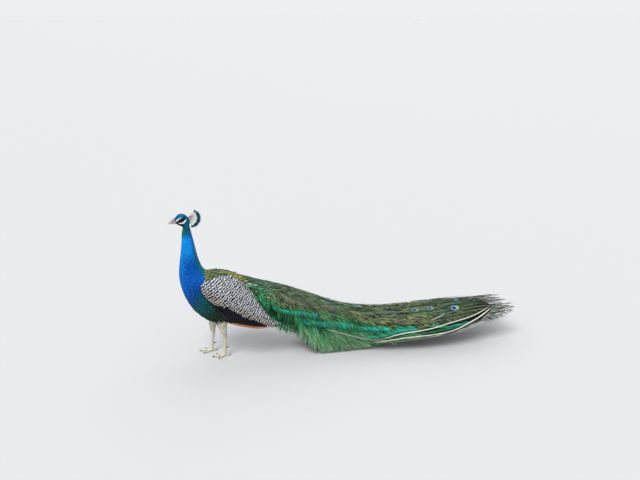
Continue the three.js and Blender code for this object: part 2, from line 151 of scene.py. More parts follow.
def along_axis(points):
    """How far along the axis line each point is, in metres, and the line's direction there."""
    fine = np.linspace(0, AXIS_LENGTH, 160)
    places = at_reach(AXIS_LINE, fine)
    ways = unit(np.gradient(places, axis=0))
    found, heading = [], []
    for block in np.array_split(points, max(1, len(points) // 4000)):
        apart = np.linalg.norm(block[:, None, 1:] - places[None, :, 1:], axis=2)
        weight = 1 / (apart**2 + 0.004**2) ** 2
        weight /= weight.sum(1, keepdims=True)
        found.append(weight @ (fine / AXIS_LENGTH))
        heading.append(weight @ ways)
    return np.concatenate(found) * AXIS_LENGTH, unit(np.concatenate(heading))


class Ground:
    """A surface that feathers are laid on, in the bird's own terms."""

    def __init__(self, *objects):
        places, faces, offset = [], [], 0
        for obj in objects:
            mesh = obj.data
            mesh.calc_loop_triangles()
            at = np.empty(len(mesh.vertices) * 3, np.float32)
            mesh.vertices.foreach_get("co", at)
            corners = np.empty(len(mesh.loop_triangles) * 3, np.int32)
            mesh.loop_triangles.foreach_get("vertices", corners)
            world = np.array(obj.matrix_world)
            places.append(at.reshape(-1, 3) @ world[:3, :3].T + world[:3, 3] - FEET)
            faces.append(corners.reshape(-1, 3) + offset)
            offset += len(at) // 3
        self.places = np.concatenate(places)
        self.faces = np.concatenate(faces)
        self.tree = BVHTree.FromPolygons(self.places.tolist(), self.faces.tolist())

    def nearest(self, points):
        """The nearest places on the surface, its normals there and the distances."""
        found = [self.tree.find_nearest(p) for p in points.tolist()]
        places, normals = (np.array([tuple(f[k]) for f in found]) for k in (0, 1))
        return places, normals, np.array([f[3] for f in found])

    def from_side(self, side, y, z):
        """Where a straight look from one side meets the surface, or None."""
        return self.tree.ray_cast(Vector((side * 0.5, y, z)), Vector((-side, 0, 0)))[0]

    def scatter(self, spacing, inside):
        """Roots spread evenly where inside allows, about a local spacing apart."""
        corners = self.places[self.faces]
        centre = corners.mean(1)
        cross = np.cross(corners[:, 1] - corners[:, 0], corners[:, 2] - corners[:, 0])
        area = np.linalg.norm(cross, axis=1) / 2
        normal = unit(cross)
        weight = area / spacing(centre) ** 2 * inside(centre, normal)
        count = int(weight.sum() * 7)
        drawn = rng.choice(len(weight), count, p=weight / weight.sum())
        share = np.sqrt(rng.random((count, 1))), rng.random((count, 1))
        mix = np.concatenate([1 - share[0], share[0] * (1 - share[1]), share[0] * share[1]], 1)
        points = (corners[drawn] * mix[:, :, None]).sum(1)
        kept = thinned(points, spacing(points))
        return points[kept], normal[drawn[kept]]


def thinned(points, gap):
    """The numbers of the points that stay when each keeps its own gap to those before it."""
    tree = KDTree(len(points))
    for i, p in enumerate(points):
        tree.insert(p, i)
    tree.balance()
    free = np.ones(len(points), bool)
    kept = []
    for i, p in enumerate(points):
        if free[i]:
            kept.append(i)
            for _, j, _ in tree.find_range(p, gap[i]):
                free[j] = False
    return kept


def walk(ground, roots, heading, length, rows):
    """Carries each heading straight over the ground. Gives places and normals, feathers x rows x 3."""
    at, up, _ = ground.nearest(roots)
    way = level(heading, up)
    places, ups = [at], [up]
    for before, row in zip(rows, rows[1:]):
        at, normal, _ = ground.nearest(at + way * ((row - before) * length)[:, None])
        up = unit(up * 0.35 + normal * 0.65)
        way = level(way, up)
        places.append(at)
        ups.append(up)
    return np.moveaxis(np.array(places), 0, 1), np.moveaxis(np.array(ups), 0, 1)


# ---------------- meshes of many feathers


class Vane:
    """A closed leaf: rows of points across it, with a point at its root and one at its tip."""

    def __init__(self, widths, columns):
        self.rows = np.linspace(0, 1, len(widths) + 2)
        self.widths = np.array([0.0, *widths, 0.0])
        inner, edge = len(widths), columns - 1
        last = 1 + inner * columns
        self.row = np.array([0, *np.repeat(np.arange(inner) + 1, columns), inner + 1])
        self.along = self.rows[self.row]
        self.side = np.array([0.0, *np.tile(np.linspace(-1, 1, columns), inner), 0.0])
        self.shape = np.stack([0.5 + self.side * 0.42, 0.08 + self.along * 0.84], 1)

        def at(row, column):
            return 1 + row * columns + column

        self.faces = []
        for c in range(edge):
            self.faces += [(0, at(0, c), at(0, c + 1)), (last, at(inner - 1, c + 1), at(inner - 1, c))]
            for r in range(inner - 1):
                self.faces.append((at(r, c), at(r + 1, c), at(r + 1, c + 1), at(r, c + 1)))
        self.faces += [(0, at(0, edge), at(0, 0)), (last, at(inner - 1, 0), at(inner - 1, edge))]
        for r in range(inner - 1):
            self.faces.append((at(r, edge), at(r + 1, edge), at(r + 1, 0), at(r, 0)))


class Plumage:
    """Gathers feathers into one mesh, with what each point knows of its own feather."""

    def __init__(self):
        self.points, self.totals, self.corners, self.spots, self.values = [], [], [], [], {}
        self.count = 0

    def add(self, points, faces, spots, **values):
        """Points and spots are feathers x points x 3 or 2. Each value is one per feather or per point."""
        feathers, size = points.shape[:2]
        flat = np.concatenate([np.array(face) for face in faces])
        offset = self.count + size * np.arange(feathers)
        self.points.append(points.reshape(-1, 3))
        self.spots.append(spots.reshape(-1, 2))
        self.totals.append(np.tile([len(face) for face in faces], feathers))
        self.corners.append((flat[None] + offset[:, None]).ravel())
        self.count += feathers * size
        for name, value in values.items():
            value = value[:, None] if len(value) == feathers else value[None]
            self.values.setdefault(name, []).append(np.broadcast_to(value, (feathers, size)).ravel())

    def piece(self, name, material, slot, replaces=()):
        """The finished object, riding on the bird."""
        mesh = bpy.data.meshes.new(name)
        totals, corners = np.concatenate(self.totals), np.concatenate(self.corners)
        mesh.vertices.add(self.count)
        mesh.loops.add(len(corners))
        mesh.polygons.add(len(totals))
        starts = np.concatenate([[0], np.cumsum(totals)[:-1]])
        mesh.loops.foreach_set("vertex_index", corners.astype(np.int32))
        mesh.polygons.foreach_set("loop_start", starts.astype(np.int32))
        mesh.polygons.foreach_set("loop_total", totals.astype(np.int32))
        mesh.polygons.foreach_set("use_smooth", np.ones(len(totals), bool))
        layer = mesh.uv_layers.new(name="OFBake")
        layer.uv.foreach_set("vector", np.concatenate(self.spots)[corners].astype(np.float32).ravel())
        obj = bpy.data.objects.new(name, mesh)
        bpy.context.scene.collection.objects.link(obj)
        for key, blocks in self.values.items():
            give(obj, key, np.concatenate(blocks))
        move_to(obj, np.concatenate(self.points))
        mesh.update(calc_edges=True)
        mesh.validate()
        dressed(obj, material, replaces)


def dressed(obj, material, replaces=()):
    """Gives a piece its finish, its place on the bird and the nodes that it stands for."""
    obj.data.materials.clear()
    obj.data.materials.append(material)
    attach(obj, "root")
    if replaces:
        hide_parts(*replaces)


def body_place(points):
    """How far along the axis line each point is, in metres, and how much it faces the back."""
    reach, way = along_axis(points)
    out = points[:, 1:] - at_reach(AXIS_LINE, reach)[:, 1:]
    up = out[:, 1] * way[:, 1] - out[:, 0] * way[:, 2]
    return reach, up / np.hypot(np.hypot(points[:, 0], up), 0.002)


def body_spot(reach, high, points):
    """Each root's place on the skin unrolled along the body and round it."""
    round_it = np.arccos(np.clip(high, -1, 1)) * np.sign(points[:, 0]) / (2 * math.pi) + 0.5
    return np.stack([0.01 + 0.98 * np.clip(reach / 2.2, 0, 1), 0.01 + 0.98 * round_it], 1)


def patches(spots, vane):
    """A small patch at each feather's spot, with its length and its width."""
    return spots[:, None] + PATCH_SIZE * np.stack([vane.side / 2, vane.along - 0.5], 1)[None]


def cells(count, shape):
    """One cell of a square sheet for each feather, filled with its shape, given from 0 to 1."""
    across = math.ceil(math.sqrt(count))
    index = np.arange(count)
    return (np.stack([index % across, index // across], 1)[:, None] + shape[None]) / across


def lay_paths(plumage, vane, paths, ups, width, spots, cup=0.3, ridge=0.12, **values):
    """Lays one vane along each path. Paths and ups are feathers x rows x 3."""
    ways = np.gradient(paths, axis=1)
    sides = unit(np.cross(ways, ups))
    ups = unit(np.cross(sides, ways))
    half = vane.widths[vane.row][None] * np.broadcast_to(width, len(paths))[:, None] / 2
    rise = ridge * half * (vane.side == 0)[None] - cup * half * np.abs(vane.side)[None] ** 1.6
    out = (half * vane.side[None])[:, :, None]
    points = paths[:, vane.row] + ups[:, vane.row] * rise[:, :, None] + sides[:, vane.row] * out
    shade = rng.random(len(paths))
    plumage.add(points, vane.faces, spots, along=vane.along, across=vane.side, shade=shade, **values)


def lay_vanes(plumage, ground, vane, roots, heading, length, width, lift=0.08, base=0.0006, yaw=6.0,
              cup=0.3, tone=0.0, sheet=False, spread=0.1, **values):
    """Lays one vane at each root, its tip raised over the roots of those behind it."""
    count = len(roots)
    _, normal, _ = ground.nearest(roots)
    heading = level(heading, normal)
    turn = np.radians(rng.normal(0, yaw, count))[:, None]
    heading = heading * np.cos(turn) + np.cross(normal, heading) * np.sin(turn)
    length = np.broadcast_to(length, count) * rng.uniform(1 - spread, 1 + spread, count)
    width = np.broadcast_to(width, count) * rng.uniform(1 - spread, 1 + spread, count)
    places, ups = walk(ground, roots, heading, length, vane.rows)
    rise = np.broadcast_to(base, count)[:, None] + lift * length[:, None] * vane.rows[None]
    reach, high = body_place(roots)
    spots = cells(count, vane.shape) if sheet else patches(body_spot(reach, high, roots), vane)
    lay_paths(plumage, vane, places + ups * rise[:, :, None], ups, width, spots, cup,
              tone=np.broadcast_to(tone, count), reach=reach, high=high, **values)


# ---------------- finishes


def tint(code):
    """The linear colour of a six-figure colour code."""
    parts = [int(code[k : k + 2], 16) / 255 for k in (0, 2, 4)]
    return tuple(((c + 0.055) / 1.055) ** 2.4 if c > 0.04045 else c / 12.92 for c in parts)


class Shader:
    """Lays nodes and their links in one tree."""

    def __init__(self, tree):
        self.tree = tree

    def set(self, socket, value):
        if isinstance(value, bpy.types.NodeSocket):
            self.tree.links.new(value, socket)
        elif hasattr(value, "__len__") and len(value) == 3 and socket.type == "RGBA":
            socket.default_value = (*value, 1.0)
        else:
            socket.default_value = value

    def new(self, kind, inputs=None, **settings):
        made = self.tree.nodes.new(kind)
        for key, value in settings.items():
            setattr(made, key, value)
        for key, value in (inputs or {}).items():
            self.set(made.inputs[key], value)
        return made

    def math(self, operation, *values, clamp=False):
        made = self.new("ShaderNodeMath", operation=operation, use_clamp=clamp)
        for socket, value in zip(made.inputs, values):
            self.set(socket, value)
        return made.outputs[0]

    def times(self, first, second, clamp=False):
        return self.math("MULTIPLY", first, second, clamp=clamp)

    def minus(self, first, second, clamp=False):
        return self.math("SUBTRACT", first, second, clamp=clamp)

    def apart(self, first, second):
        return self.math("ABSOLUTE", self.minus(first, second))

    def linear(self, value, slope, start):
        return self.math("MULTIPLY_ADD", value, slope, start)

    def distance(self, *sides):
        """How far away a place is, from how far away it is on two axes."""
        return self.math("SQRT", self.math("ADD", *(self.math("POWER", side, 2.0) for side in sides)))

    def between(self, value, low, high):
        """0 below low, 1 above high, with an even turn between them."""
        given = {"Value": value, "From Min": low, "From Max": high}
        return self.new("ShaderNodeMapRange", given, interpolation_type="SMOOTHSTEP").outputs["Result"]

    def mix(self, share, first, second):
        return self.new("ShaderNodeMix", {0: share, 6: first, 7: second}, data_type="RGBA").outputs[2]

    def lit(self, colour, light):
        """A colour made lighter or darker by a number."""
        return self.new("ShaderNodeVectorMath", {0: colour, "Scale": light}, operation="SCALE").outputs[0]

    def ramp(self, value, stops):
        made = self.new("ShaderNodeValToRGB", {"Fac": value})
        steps = made.color_ramp.elements
        while len(steps) < len(stops):
            steps.new(0.5)
        for step, (place, colour) in zip(steps, stops):
            step.position = place
            step.color = (*colour, 1.0)
        return made.outputs["Color"]

    def read(self, name):
        return self.new("ShaderNodeAttribute", attribute_name=name).outputs["Fac"]

    def place(self):
        """Where a point is on the bird, in the bird's own terms."""
        at = self.new("ShaderNodeTexCoord").outputs["Object"]
        return self.new("ShaderNodeMapping", {"Vector": at, "Location": tuple(-FEET)}).outputs[0]

    def axes(self):
        """The x, y and z of that place."""
        return tuple(self.new("ShaderNodeSeparateXYZ", {0: self.place()}).outputs)

    def noise(self, scale, detail=2.0):
        given = {"Vector": self.place(), "Scale": scale, "Detail": detail}
        return self.new("ShaderNodeTexNoise", given).outputs["Fac"]

    def group(self, name, **inputs):
        made = self.new("ShaderNodeGroup", node_tree=bpy.data.node_groups[name])
        for key, value in inputs.items():
            self.set(made.inputs[key.replace("_", " ")], value)
        return made.outputs


def node_group(name, inputs, outputs):
    """A new group with its sockets, and its way in and out."""
    tree = bpy.data.node_groups.new(name, "ShaderNodeTree")
    for way, sockets in (("INPUT", inputs), ("OUTPUT", outputs)):
        for label, kind in sockets.items():
            tree.interface.new_socket(label, in_out=way, socket_type=f"NodeSocket{kind}")
    return Shader(tree), tree.nodes.new("NodeGroupInput").outputs, tree.nodes.new("NodeGroupOutput").inputs


def finish_of(name, paint, roughness=0.5, metallic=0.0, specular=0.15, relief=None):
    """A material whose colour, and relief if any, are laid by a function of its shader."""
    material = bpy.data.materials.new(name)
    material.use_nodes = True
    shader = Shader(material.node_tree)
    surface = material.node_tree.nodes["Principled BSDF"].inputs
    shader.set(surface["Base Color"], paint(shader) if callable(paint) else paint)
    surface["Roughness"].default_value = roughness
    surface["Metallic"].default_value = metallic
    surface["Specular IOR Level"].default_value = specular
    if relief:
        height, depth = relief(shader)
        bump = shader.new("ShaderNodeBump", {"Height": height, "Distance": depth})
        shader.set(surface["Normal"], bump.outputs["Normal"])
    return material


def make_groups(look):
    """The effects that several finishes share."""
    inputs = {"Reach": "Float", "High": "Float", "Mantle": "Float"}
    shader, given, out = node_group("Body colours", inputs, {"Color": "Color"})
    # The brightest blue of the upper neck is partly the feathers' own blue and partly a painted highlight.
    front = shader.ramp(given["Reach"], [
        (0.040, look.crown), (0.085, look.crown), (0.110, look.nape), (0.138, look.neck_mid),
        (0.160, look.neck), (0.215, look.neck), (0.290, look.neck_deep), (0.375, look.neck_low),
        (0.410, look.breast), (0.455, look.teal), (0.540, look.belly), (0.640, look.belly),
        (0.700, look.emerald), (0.900, look.emerald),
    ])
    back = shader.ramp(given["Reach"], [
        (0.040, look.crown), (0.115, look.nape), (0.170, look.neck_mid), (0.240, look.neck_back),
        (0.430, look.neck_back), (0.490, look.teal), (0.600, look.emerald),
    ])
    under = shader.ramp(given["Reach"], [
        (0.060, look.loral), (0.085, look.throat_dark), (0.108, look.throat), (0.128, look.throat),
        (0.162, look.neck), (0.380, look.neck_low), (0.430, look.breast), (0.470, look.teal),
        (0.530, look.belly), (0.900, look.belly),
    ])
    over = shader.ramp(given["Reach"], [(0.520, look.mantle), (0.640, look.rump), (0.900, look.rump)])
    colour = shader.mix(shader.between(given["High"], 0.40, 0.90), front, back)
    throat = shader.between(given["Reach"], 0.18, 0.14)
    edge = shader.linear(throat, 0.45, -0.90)
    edge_top = shader.math("ADD", edge, 0.50)
    colour = shader.mix(shader.between(given["High"], edge_top, edge), colour, under)
    shader.set(out["Color"], shader.mix(given["Mantle"], colour, over))

    labels = ("Along", "Across", "Shade", "Root Shade", "Rim Width", "Barbs")
    outputs = {"Light": "Float", "Rim": "Float"}
    shader, given, out = node_group("Feather web", dict.fromkeys(labels, "Float"), outputs)
    # Painted shade: each web darkens towards its root, under the feathers that lie over it.
    from_root = shader.between(given["Along"], 0.0, 0.6)
    dark = shader.times(given["Root Shade"], shader.minus(1.0, from_root))
    light = shader.times(shader.linear(given["Shade"], 0.36, 0.82), shader.minus(1.0, dark))
    out_from_shaft = shader.math("ABSOLUTE", given["Across"])
    slant = shader.linear(out_from_shaft, -0.30, given["Along"])
    turn = shader.times(shader.times(slant, given["Barbs"]), 2 * math.pi)
    barbs = shader.linear(shader.math("SINE", turn), 0.13, 1.0)
    shader.set(out["Light"], shader.times(light, barbs))
    tip = shader.math("POWER", given["Along"], 4.0)
    outline = shader.math("MAXIMUM", shader.math("POWER", out_from_shaft, 2.0), tip)
    shader.set(out["Rim"], shader.between(outline, shader.minus(1.0, given["Rim Width"]), 1.0))


def web(shader, root_shade=0.5, rim_width=0.3, barbs=7.0):
    """The light and the rim of a feather's web, with a number of barbs along it."""
    read = {key.title(): shader.read(key) for key in ("along", "across", "shade")}
    return shader.group("Feather web", Root_Shade=root_shade, Rim_Width=rim_width, Barbs=barbs, **read)


def rimmed(colour, rim, rim_width, barbs, share=1.0):
    """The paint of a feather's web with a share of another colour along its rim."""

    def paint(shader):
        edge = web(shader, 0.3, rim_width, barbs)
        return shader.lit(shader.mix(shader.times(edge["Rim"], share), colour, rim), edge["Light"])

    return paint


def mottled(scale, first, second):
    """The paint of a surface whose colour wanders between two."""
    return lambda shader: shader.mix(shader.noise(scale), first, second)


def body_colour(shader):
    """The colour of the plumage where a point of the skin, or a feather's root, lies."""
    read = {key.title(): shader.read(key) for key in ("reach", "high", "mantle")}
    return shader.group("Body colours", **read)[0]


# ---------------- what a user may change


def colour(name, description, code):
    return FloatVectorProperty(
        name=name, description=description, subtype="COLOR", size=3, min=0.0, max=1.0, default=tint(code)
    )


def length(name, description, default):
    return FloatProperty(
        name=name, description=description, unit="LENGTH", default=default, min=0.0005, max=0.5, precision=4
    )


class PeacockColours(bpy.types.PropertyGroup):
    """Colours of the plumage, the skin and the horn."""

    crown: colour("Crown", "Feathers of the crown and the cheeks", "1074a8")
    nape: colour("Nape", "Feathers behind the head", "186a7c")
    throat: colour("Throat", "Green of the throat", "127a62")
    throat_dark: colour("Chin", "Blackish green of the chin", "0c2f34")
    # Partly the feathers' own blue and partly a painted highlight.
    neck: colour("Upper neck", "Brightest blue of the neck", "12a2fc")
    neck_mid: colour("Top of the neck", "Blue just below the head", "1078cc")
    neck_deep: colour("Middle neck", "Deeper blue halfway down the neck", "0a62c0")
    neck_low: colour("Lower neck", "Blue at the foot of the neck", "0d68c6")
    neck_back: colour("Back of the neck", "Blue-green along the back of the neck", "11779c")
    breast: colour("Breast", "Blue of the breast", "0c4c9a")
    teal: colour("Lower breast", "Dark teal under the breast", "175f66")
    belly: colour("Belly", "Nearly black green of the belly", "1f3c2c")
    mantle: colour("Mantle", "Olive of the upper back", "50694f")
    gold: colour("Mantle gold", "Yellow-green of the scales above the wing", "b0a644")
    streak: colour("White streak", "Greyish white feathers behind the wing's top", "b9bab4")
    brown: colour("Brown patch", "Brown feathers behind the wing's top", "5e4e40")
    rump: colour("Rump", "Grey-green of the lower back", "4a6654")
    cream: colour("Wing pale bars", "Pale bars of the shoulder feathers", "bbbfc3")
    bar: colour("Wing dark bars", "Dark bars of the shoulder feathers", "0c0e12")
    midnight: colour("Secondaries", "Blue-black of the feathers under the barred ones", "0a1018")
    chestnut: colour("Primaries", "Chestnut of the lowest wing feathers", "9a6440")
    emerald: colour("Train green", "Green of the train's sides", "4aa36c")
    turquoise: colour("Train turquoise", "Turquoise along the lower train", "36aa8a")
    fleck: colour("Orange flecks", "Orange-brown filaments on the root of the train", "c2966a")
    leaf: colour("Train pale green", "Yellow-green tips of the hanging barbs", "b4d6aa")
    bronze: colour("Train bronze", "Bronze of the barbs on the train's top", "586c44")
    olive: colour("Train olive", "Grey-green of the barbs on the train's top", "508456")
    umber: colour("Train end", "Dark brown at the end of the train", "252b22")
    shaft: colour("Shafts", "Pale feather shafts", "e2decd")
    navy: colour("Eyespot heart", "Dark heart of an eyespot", "0c1450")
    copper: colour("Eyespot copper", "Copper round an eyespot", "7c4a28")
    tail: colour("Tail", "Brown of the true tail", "4b3a2a")
    thigh: colour("Thighs", "Buff of the thighs", "d2d1bd")
    bare: colour("Bare skin", "White skin above and below the eye", "f0efe9")
    loral: colour("Eye line", "Black line through the eye", "12161a")
    horn: colour("Bill", "Grey horn of the bill", "aaa89d")
    scute: colour("Legs", "Pale scales of the legs", "c4c6b3")
    claw: colour("Claws", "Dark horn of the claws and spurs", "4a4640")
    iris: colour("Iris", "Brown of the eye", "2a1608")
    floor: colour("Floor", "The floor under the model", "b6b6b7")


class PeacockSizes(bpy.types.PropertyGroup):
    """Sizes of the plumage."""

    coat: length("Coat depth", "Depth of the feathers over the skin of the body", 0.003)
    face_coat: length("Face coat depth", "Depth of the feathers on the face", 0.0010)
    wing_bar: length("Bar spacing", "Distance from one pale bar to the next on the wing", 0.0130)
    eyespot: length("Eyespot length", "Length of an eyespot of the train", 0.056)
    barb: length("Barb length", "Length of a barb on the top of the train", 0.038)


# ---------------- the body under the feathers


def deselect():
    bpy.ops.object.select_all(action="DESELECT")


def solo(obj):
    deselect()
    obj.select_set(True)
    bpy.context.view_layer.objects.active = obj


def modify(obj, kind, **settings):
    """Adds a modifier and applies it."""
    solo(obj)
    made = obj.modifiers.new(kind.title(), kind)
    for key, value in settings.items():
        setattr(made, key, value)
    bpy.ops.object.modifier_apply(modifier=made.name)


def copy_of(nodes, name):
    """One merged object from copies of CAD nodes."""
    deselect()
    for node in nodes:
        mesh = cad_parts[node].data.copy()
        mesh.transform(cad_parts[node].matrix_world)
        made = bpy.data.objects.new(name, mesh)
        bpy.context.scene.collection.objects.link(made)
        made.select_set(True)
        bpy.context.view_layer.objects.active = made
    if len(nodes) > 1:
        bpy.ops.object.join()
    bpy.ops.object.mode_set(mode="EDIT")
    bpy.ops.mesh.select_all(action="SELECT")
    bpy.ops.mesh.remove_doubles(threshold=0.00001)
    bpy.ops.object.mode_set(mode="OBJECT")
    made.name = name
    return made


def read_vertices(obj, key):
    values = np.empty(len(obj.data.vertices) * 3, np.float32)
    obj.data.vertices.foreach_get(key, values)
    return values.reshape(-1, 3)


def vertices_of(obj):
    return read_vertices(obj, "co").astype(float) - FEET


def move_to(obj, places):
    """Puts each vertex at its own place, given in the bird's own terms."""
    obj.data.vertices.foreach_set("co", (places + FEET).astype(np.float32).ravel())
    obj.data.update()


def sink(obj, depth):
    """Moves each vertex inwards by its own depth."""
    move_to(obj, vertices_of(obj) - read_vertices(obj, "normal") * np.reshape(depth, (-1, 1)))


def give(obj, name, values):
    """Stores a number for each vertex under a name that its finish reads."""
    layer = obj.data.attributes.new(name, "FLOAT", "POINT")
    layer.data.foreach_set("value", values.astype(np.float32))


def even_copy(nodes, name, face, rounds):
    """A merged copy of CAD nodes in even faces of one size, smoothed a number of times."""
    made = copy_of(nodes, name)
    modify(made, "REMESH", mode="VOXEL", voxel_size=face, use_smooth_shade=True)
    modify(made, "SMOOTH", factor=0.5, iterations=rounds)
    return made


def solid_ground(nodes):
    return Ground(*[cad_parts[node] for node in nodes])


# The upper and the lower edge of the barred feathers, as y and z, and how far they run from front to back.
WING_TOP = (
    (-0.085, 0.440), (-0.050, 0.464), (-0.013, 0.467), (0.030, 0.473), (0.063, 0.468), (0.106, 0.447),
    (0.144, 0.420), (0.160, 0.392), (0.198, 0.333), (0.237, 0.289), (0.280, 0.230), (0.310, 0.200),
)
COVERT_EDGE = (
    (-0.080, 0.425), (-0.056, 0.392), (-0.030, 0.366), (0.031, 0.344), (0.065, 0.326), (0.096, 0.304),
    (0.134, 0.271), (0.174, 0.250), (0.202, 0.234), (0.254, 0.203), (0.305, 0.185),
)
WING_RUN = (-0.075, 0.30)


def zone_of(points):
    """1 where a point belongs to a wing, 2 where to a thigh, otherwise 0."""
    wing, thigh, body = (solid_ground(nodes).nearest(points)[2] for nodes in (WINGS, THIGHS, BODY))
    x, y, z = points.T
    cape = (z < read_off(WING_TOP, y)) & (z > read_off(COVERT_EDGE, y)) & (np.abs(x) > 0.02)
    cape &= (y > WING_RUN[0]) & (y < WING_RUN[1])
    zone = np.where((wing < body) | cape, 1.0, 0.0)
    return np.where((thigh < body) & (thigh < wing), 2.0, zone)


# Marks on the face, from the eye: lines of y, z and half width.
BROW = (
    (-0.038, -0.0150, 0.0026), (-0.024, -0.0040, 0.0038), (-0.012, 0.0065, 0.0040), (0.002, 0.0155, 0.0018),
)
CHEEK = (
    (-0.018, -0.0150, 0.0014), (-0.004, -0.0160, 0.0042), (0.009, -0.0125, 0.0060), (0.019, -0.0030, 0.0054),
    (0.025, 0.0090, 0.0016),
)
EYE_LINE = (
    (-0.040, -0.0180, 0.0030), (-0.026, -0.0120, 0.0055), (-0.012, -0.0050, 0.0080), (0.000, 0.0000, 0.0085),
    (0.012, 0.0090, 0.0050), (0.021, 0.0170, 0.0010),
)


def face_marks(points):
    """How far a point lies inside the bare skin and inside the line through the eye, in millimetres."""
    y, z = points[:, 1] - EYE[1], points[:, 2] - EYE[2]
    near_head = np.abs(points[:, 0]) > 0.005
    bare = np.maximum(stroke(y, z, BROW), stroke(y, z, CHEEK))
    return tuple(np.where(near_head, inside * 1000, -9.0) for inside in (bare, stroke(y, z, EYE_LINE)))


def mantle_line(y):
    """The height below which the back's olive feathers give way to green ones, behind the wing."""
    return read_off(((0.12, 0.425), (0.20, 0.400), (0.30, 0.350), (0.40, 0.320)), y)


def mantle_share(points, high):
    """1 on the upper back behind the foot of the neck, 0 on the neck and the flanks."""
    behind_neck = smooth(-0.066, -0.056, points[:, 1])
    in_front = smooth(-0.25, 0.05, high)
    over_flank = smooth(-0.010, 0.010, points[:, 2] - mantle_line(points[:, 1]))
    rear = smooth(0.10, 0.16, points[:, 1])
    return behind_neck * (in_front * (1 - rear) + over_flank * rear)


# Edges of the faces of the skin and the train's bed, and the depths of feathers over wings, thighs and train.
SKIN_FACE = 0.003
BED_FACE = 0.007
LIMB_COAT = 0.003
TRAIN_COAT = 0.010


class PEACOCK_OT_skin(bpy.types.Operator):
    """Makes the one skin of the head, neck, body, wings and thighs, and the bed of the train"""

    bl_idname = "peacock.skin"
    bl_label = "Skin and train bed"

    def execute(self, context):
        look, sizes = context.scene.peacock_colours, context.scene.peacock_sizes
        skin = even_copy(BODY + THIGHS + WINGS, "skin", SKIN_FACE, 7)
        points = vertices_of(skin)
        reach, _ = body_place(points)
        depth = sizes.face_coat + (sizes.coat - sizes.face_coat) * smooth(0.15, 0.50, reach)
        sink(skin, np.where(zone_of(points) > 0, LIMB_COAT, depth))
        modify(skin, "SMOOTH", factor=0.5, iterations=3)
        self.refine_head(skin)
        points = vertices_of(skin)
        reach, high = body_place(points)
        bare, line = face_marks(points)
        marks = {
            "reach": reach, "high": high, "zone": zone_of(points), "bare": bare, "line": line,
            "mantle": mantle_share(points, high),
        }
        for name, values in marks.items():
            give(skin, name, values)

        def paint(shader):
            zone = shader.read("zone")
            # Painted shade: where it shows between the body's feathers, the skin has their colour at 0.55 of
            # its lightness.
            base = shader.lit(body_colour(shader), 0.55)
            base = shader.mix(shader.minus(1.0, shader.apart(zone, 1.0)), base, tint("1c2026"))
            base = shader.mix(shader.minus(zone, 1.0, clamp=True), base, look.thigh)
            base = shader.mix(shader.between(shader.read("line"), -0.4, 0.4), base, look.loral)
            pale = mottled(600.0, look.bare, tint("cfcfc6"))(shader)
            return shader.mix(shader.between(shader.read("bare"), -0.3, 0.2), base, pale)

        finish = finish_of("Painted skin", paint, roughness=0.6, relief=lambda s: (s.noise(900.0), 0.0004))
        dressed(skin, finish, BODY + THIGHS + WINGS)

        bed = even_copy(TRAIN + ["rump"], "train_bed", BED_FACE, 12)
        sink(bed, TRAIN_COAT)
        # Painted shade: the bed that shows between the train's barbs is a dark mottled green.
        paint = mottled(40.0, tint("1c2a20"), tint("34402c"))
        dressed(bed, finish_of("Train bed", paint, roughness=0.85, specular=0.2), TRAIN)
        return {"FINISHED"}

    def refine_head(self, skin):
        """Divides the faces of the head, so that its marks have clean edges."""
        solo(skin)
        bpy.ops.object.mode_set(mode="EDIT")
        bpy.ops.mesh.select_all(action="DESELECT")
        bpy.ops.mesh.select_mode(type="VERT")
        bpy.ops.object.mode_set(mode="OBJECT")
        at = vertices_of(skin)
        near = (np.hypot(at[:, 1] - EYE[1], at[:, 2] - EYE[2]) < 0.042) & (np.abs(at[:, 0]) > 0.004)
        skin.data.vertices.foreach_set("select", near)
        bpy.ops.object.mode_set(mode="EDIT")
        bpy.ops.mesh.subdivide(number_cuts=2, smoothness=0.6)
        bpy.ops.object.mode_set(mode="OBJECT")


# ---------------- coat of the head, neck and body

# Marks of the back, above and behind the wing: lines of y, z and half width.
GOLD = (
    (0.010, 0.481, 0.002), (0.045, 0.481, 0.004), (0.090, 0.463, 0.005), (0.120, 0.446, 0.006),
    (0.152, 0.422, 0.007), (0.172, 0.400, 0.002),
)
COLLAR = ((-0.056, 0.505, 0.003), (-0.053, 0.460, 0.005))
WHITE_STREAK = ((0.146, 0.426, 0.003), (0.170, 0.415, 0.005), (0.194, 0.403, 0.002))
BROWN_PATCH = ((0.148, 0.405, 0.004), (0.166, 0.390, 0.010), (0.192, 0.370, 0.006))

# What the tone of a feather of the back says: dark, or a share of gold from 0 to 1, or one of two markings.
DARK_TONE, WHITE_TONE, BROWN_TONE = -1.0, 2.0, 3.0

# How far apart the body's feathers are, for distances along the axis line, and where its pieces end on it.
BODY_GAPS = (
    (0.05, 0.0018), (0.10, 0.0022), (0.14, 0.0034), (0.25, 0.0045), (0.40, 0.0068), (0.55, 0.0100),
    (0.80, 0.0125),
)
BODY_PIECES = (
    ("face_feathers", 0.0, 0.13), ("neck_feathers", 0.13, 0.33), ("breast_and_back_feathers", 0.33, 9.0),
)


def body_heading(points):
    """The way that the body's feathers lie, sagging a little down the flanks."""
    _, way = along_axis(points)
    _, high = body_place(points)
    sag = np.zeros_like(way)
    sag[:, 2] = -0.25 * (1 - np.abs(high)) * smooth(0.0, 0.1, points[:, 1] + 0.1)
    return unit(way + sag)


def body_spacing(points):
    reach, _ = body_place(points)
    return read_off(BODY_GAPS, reach)


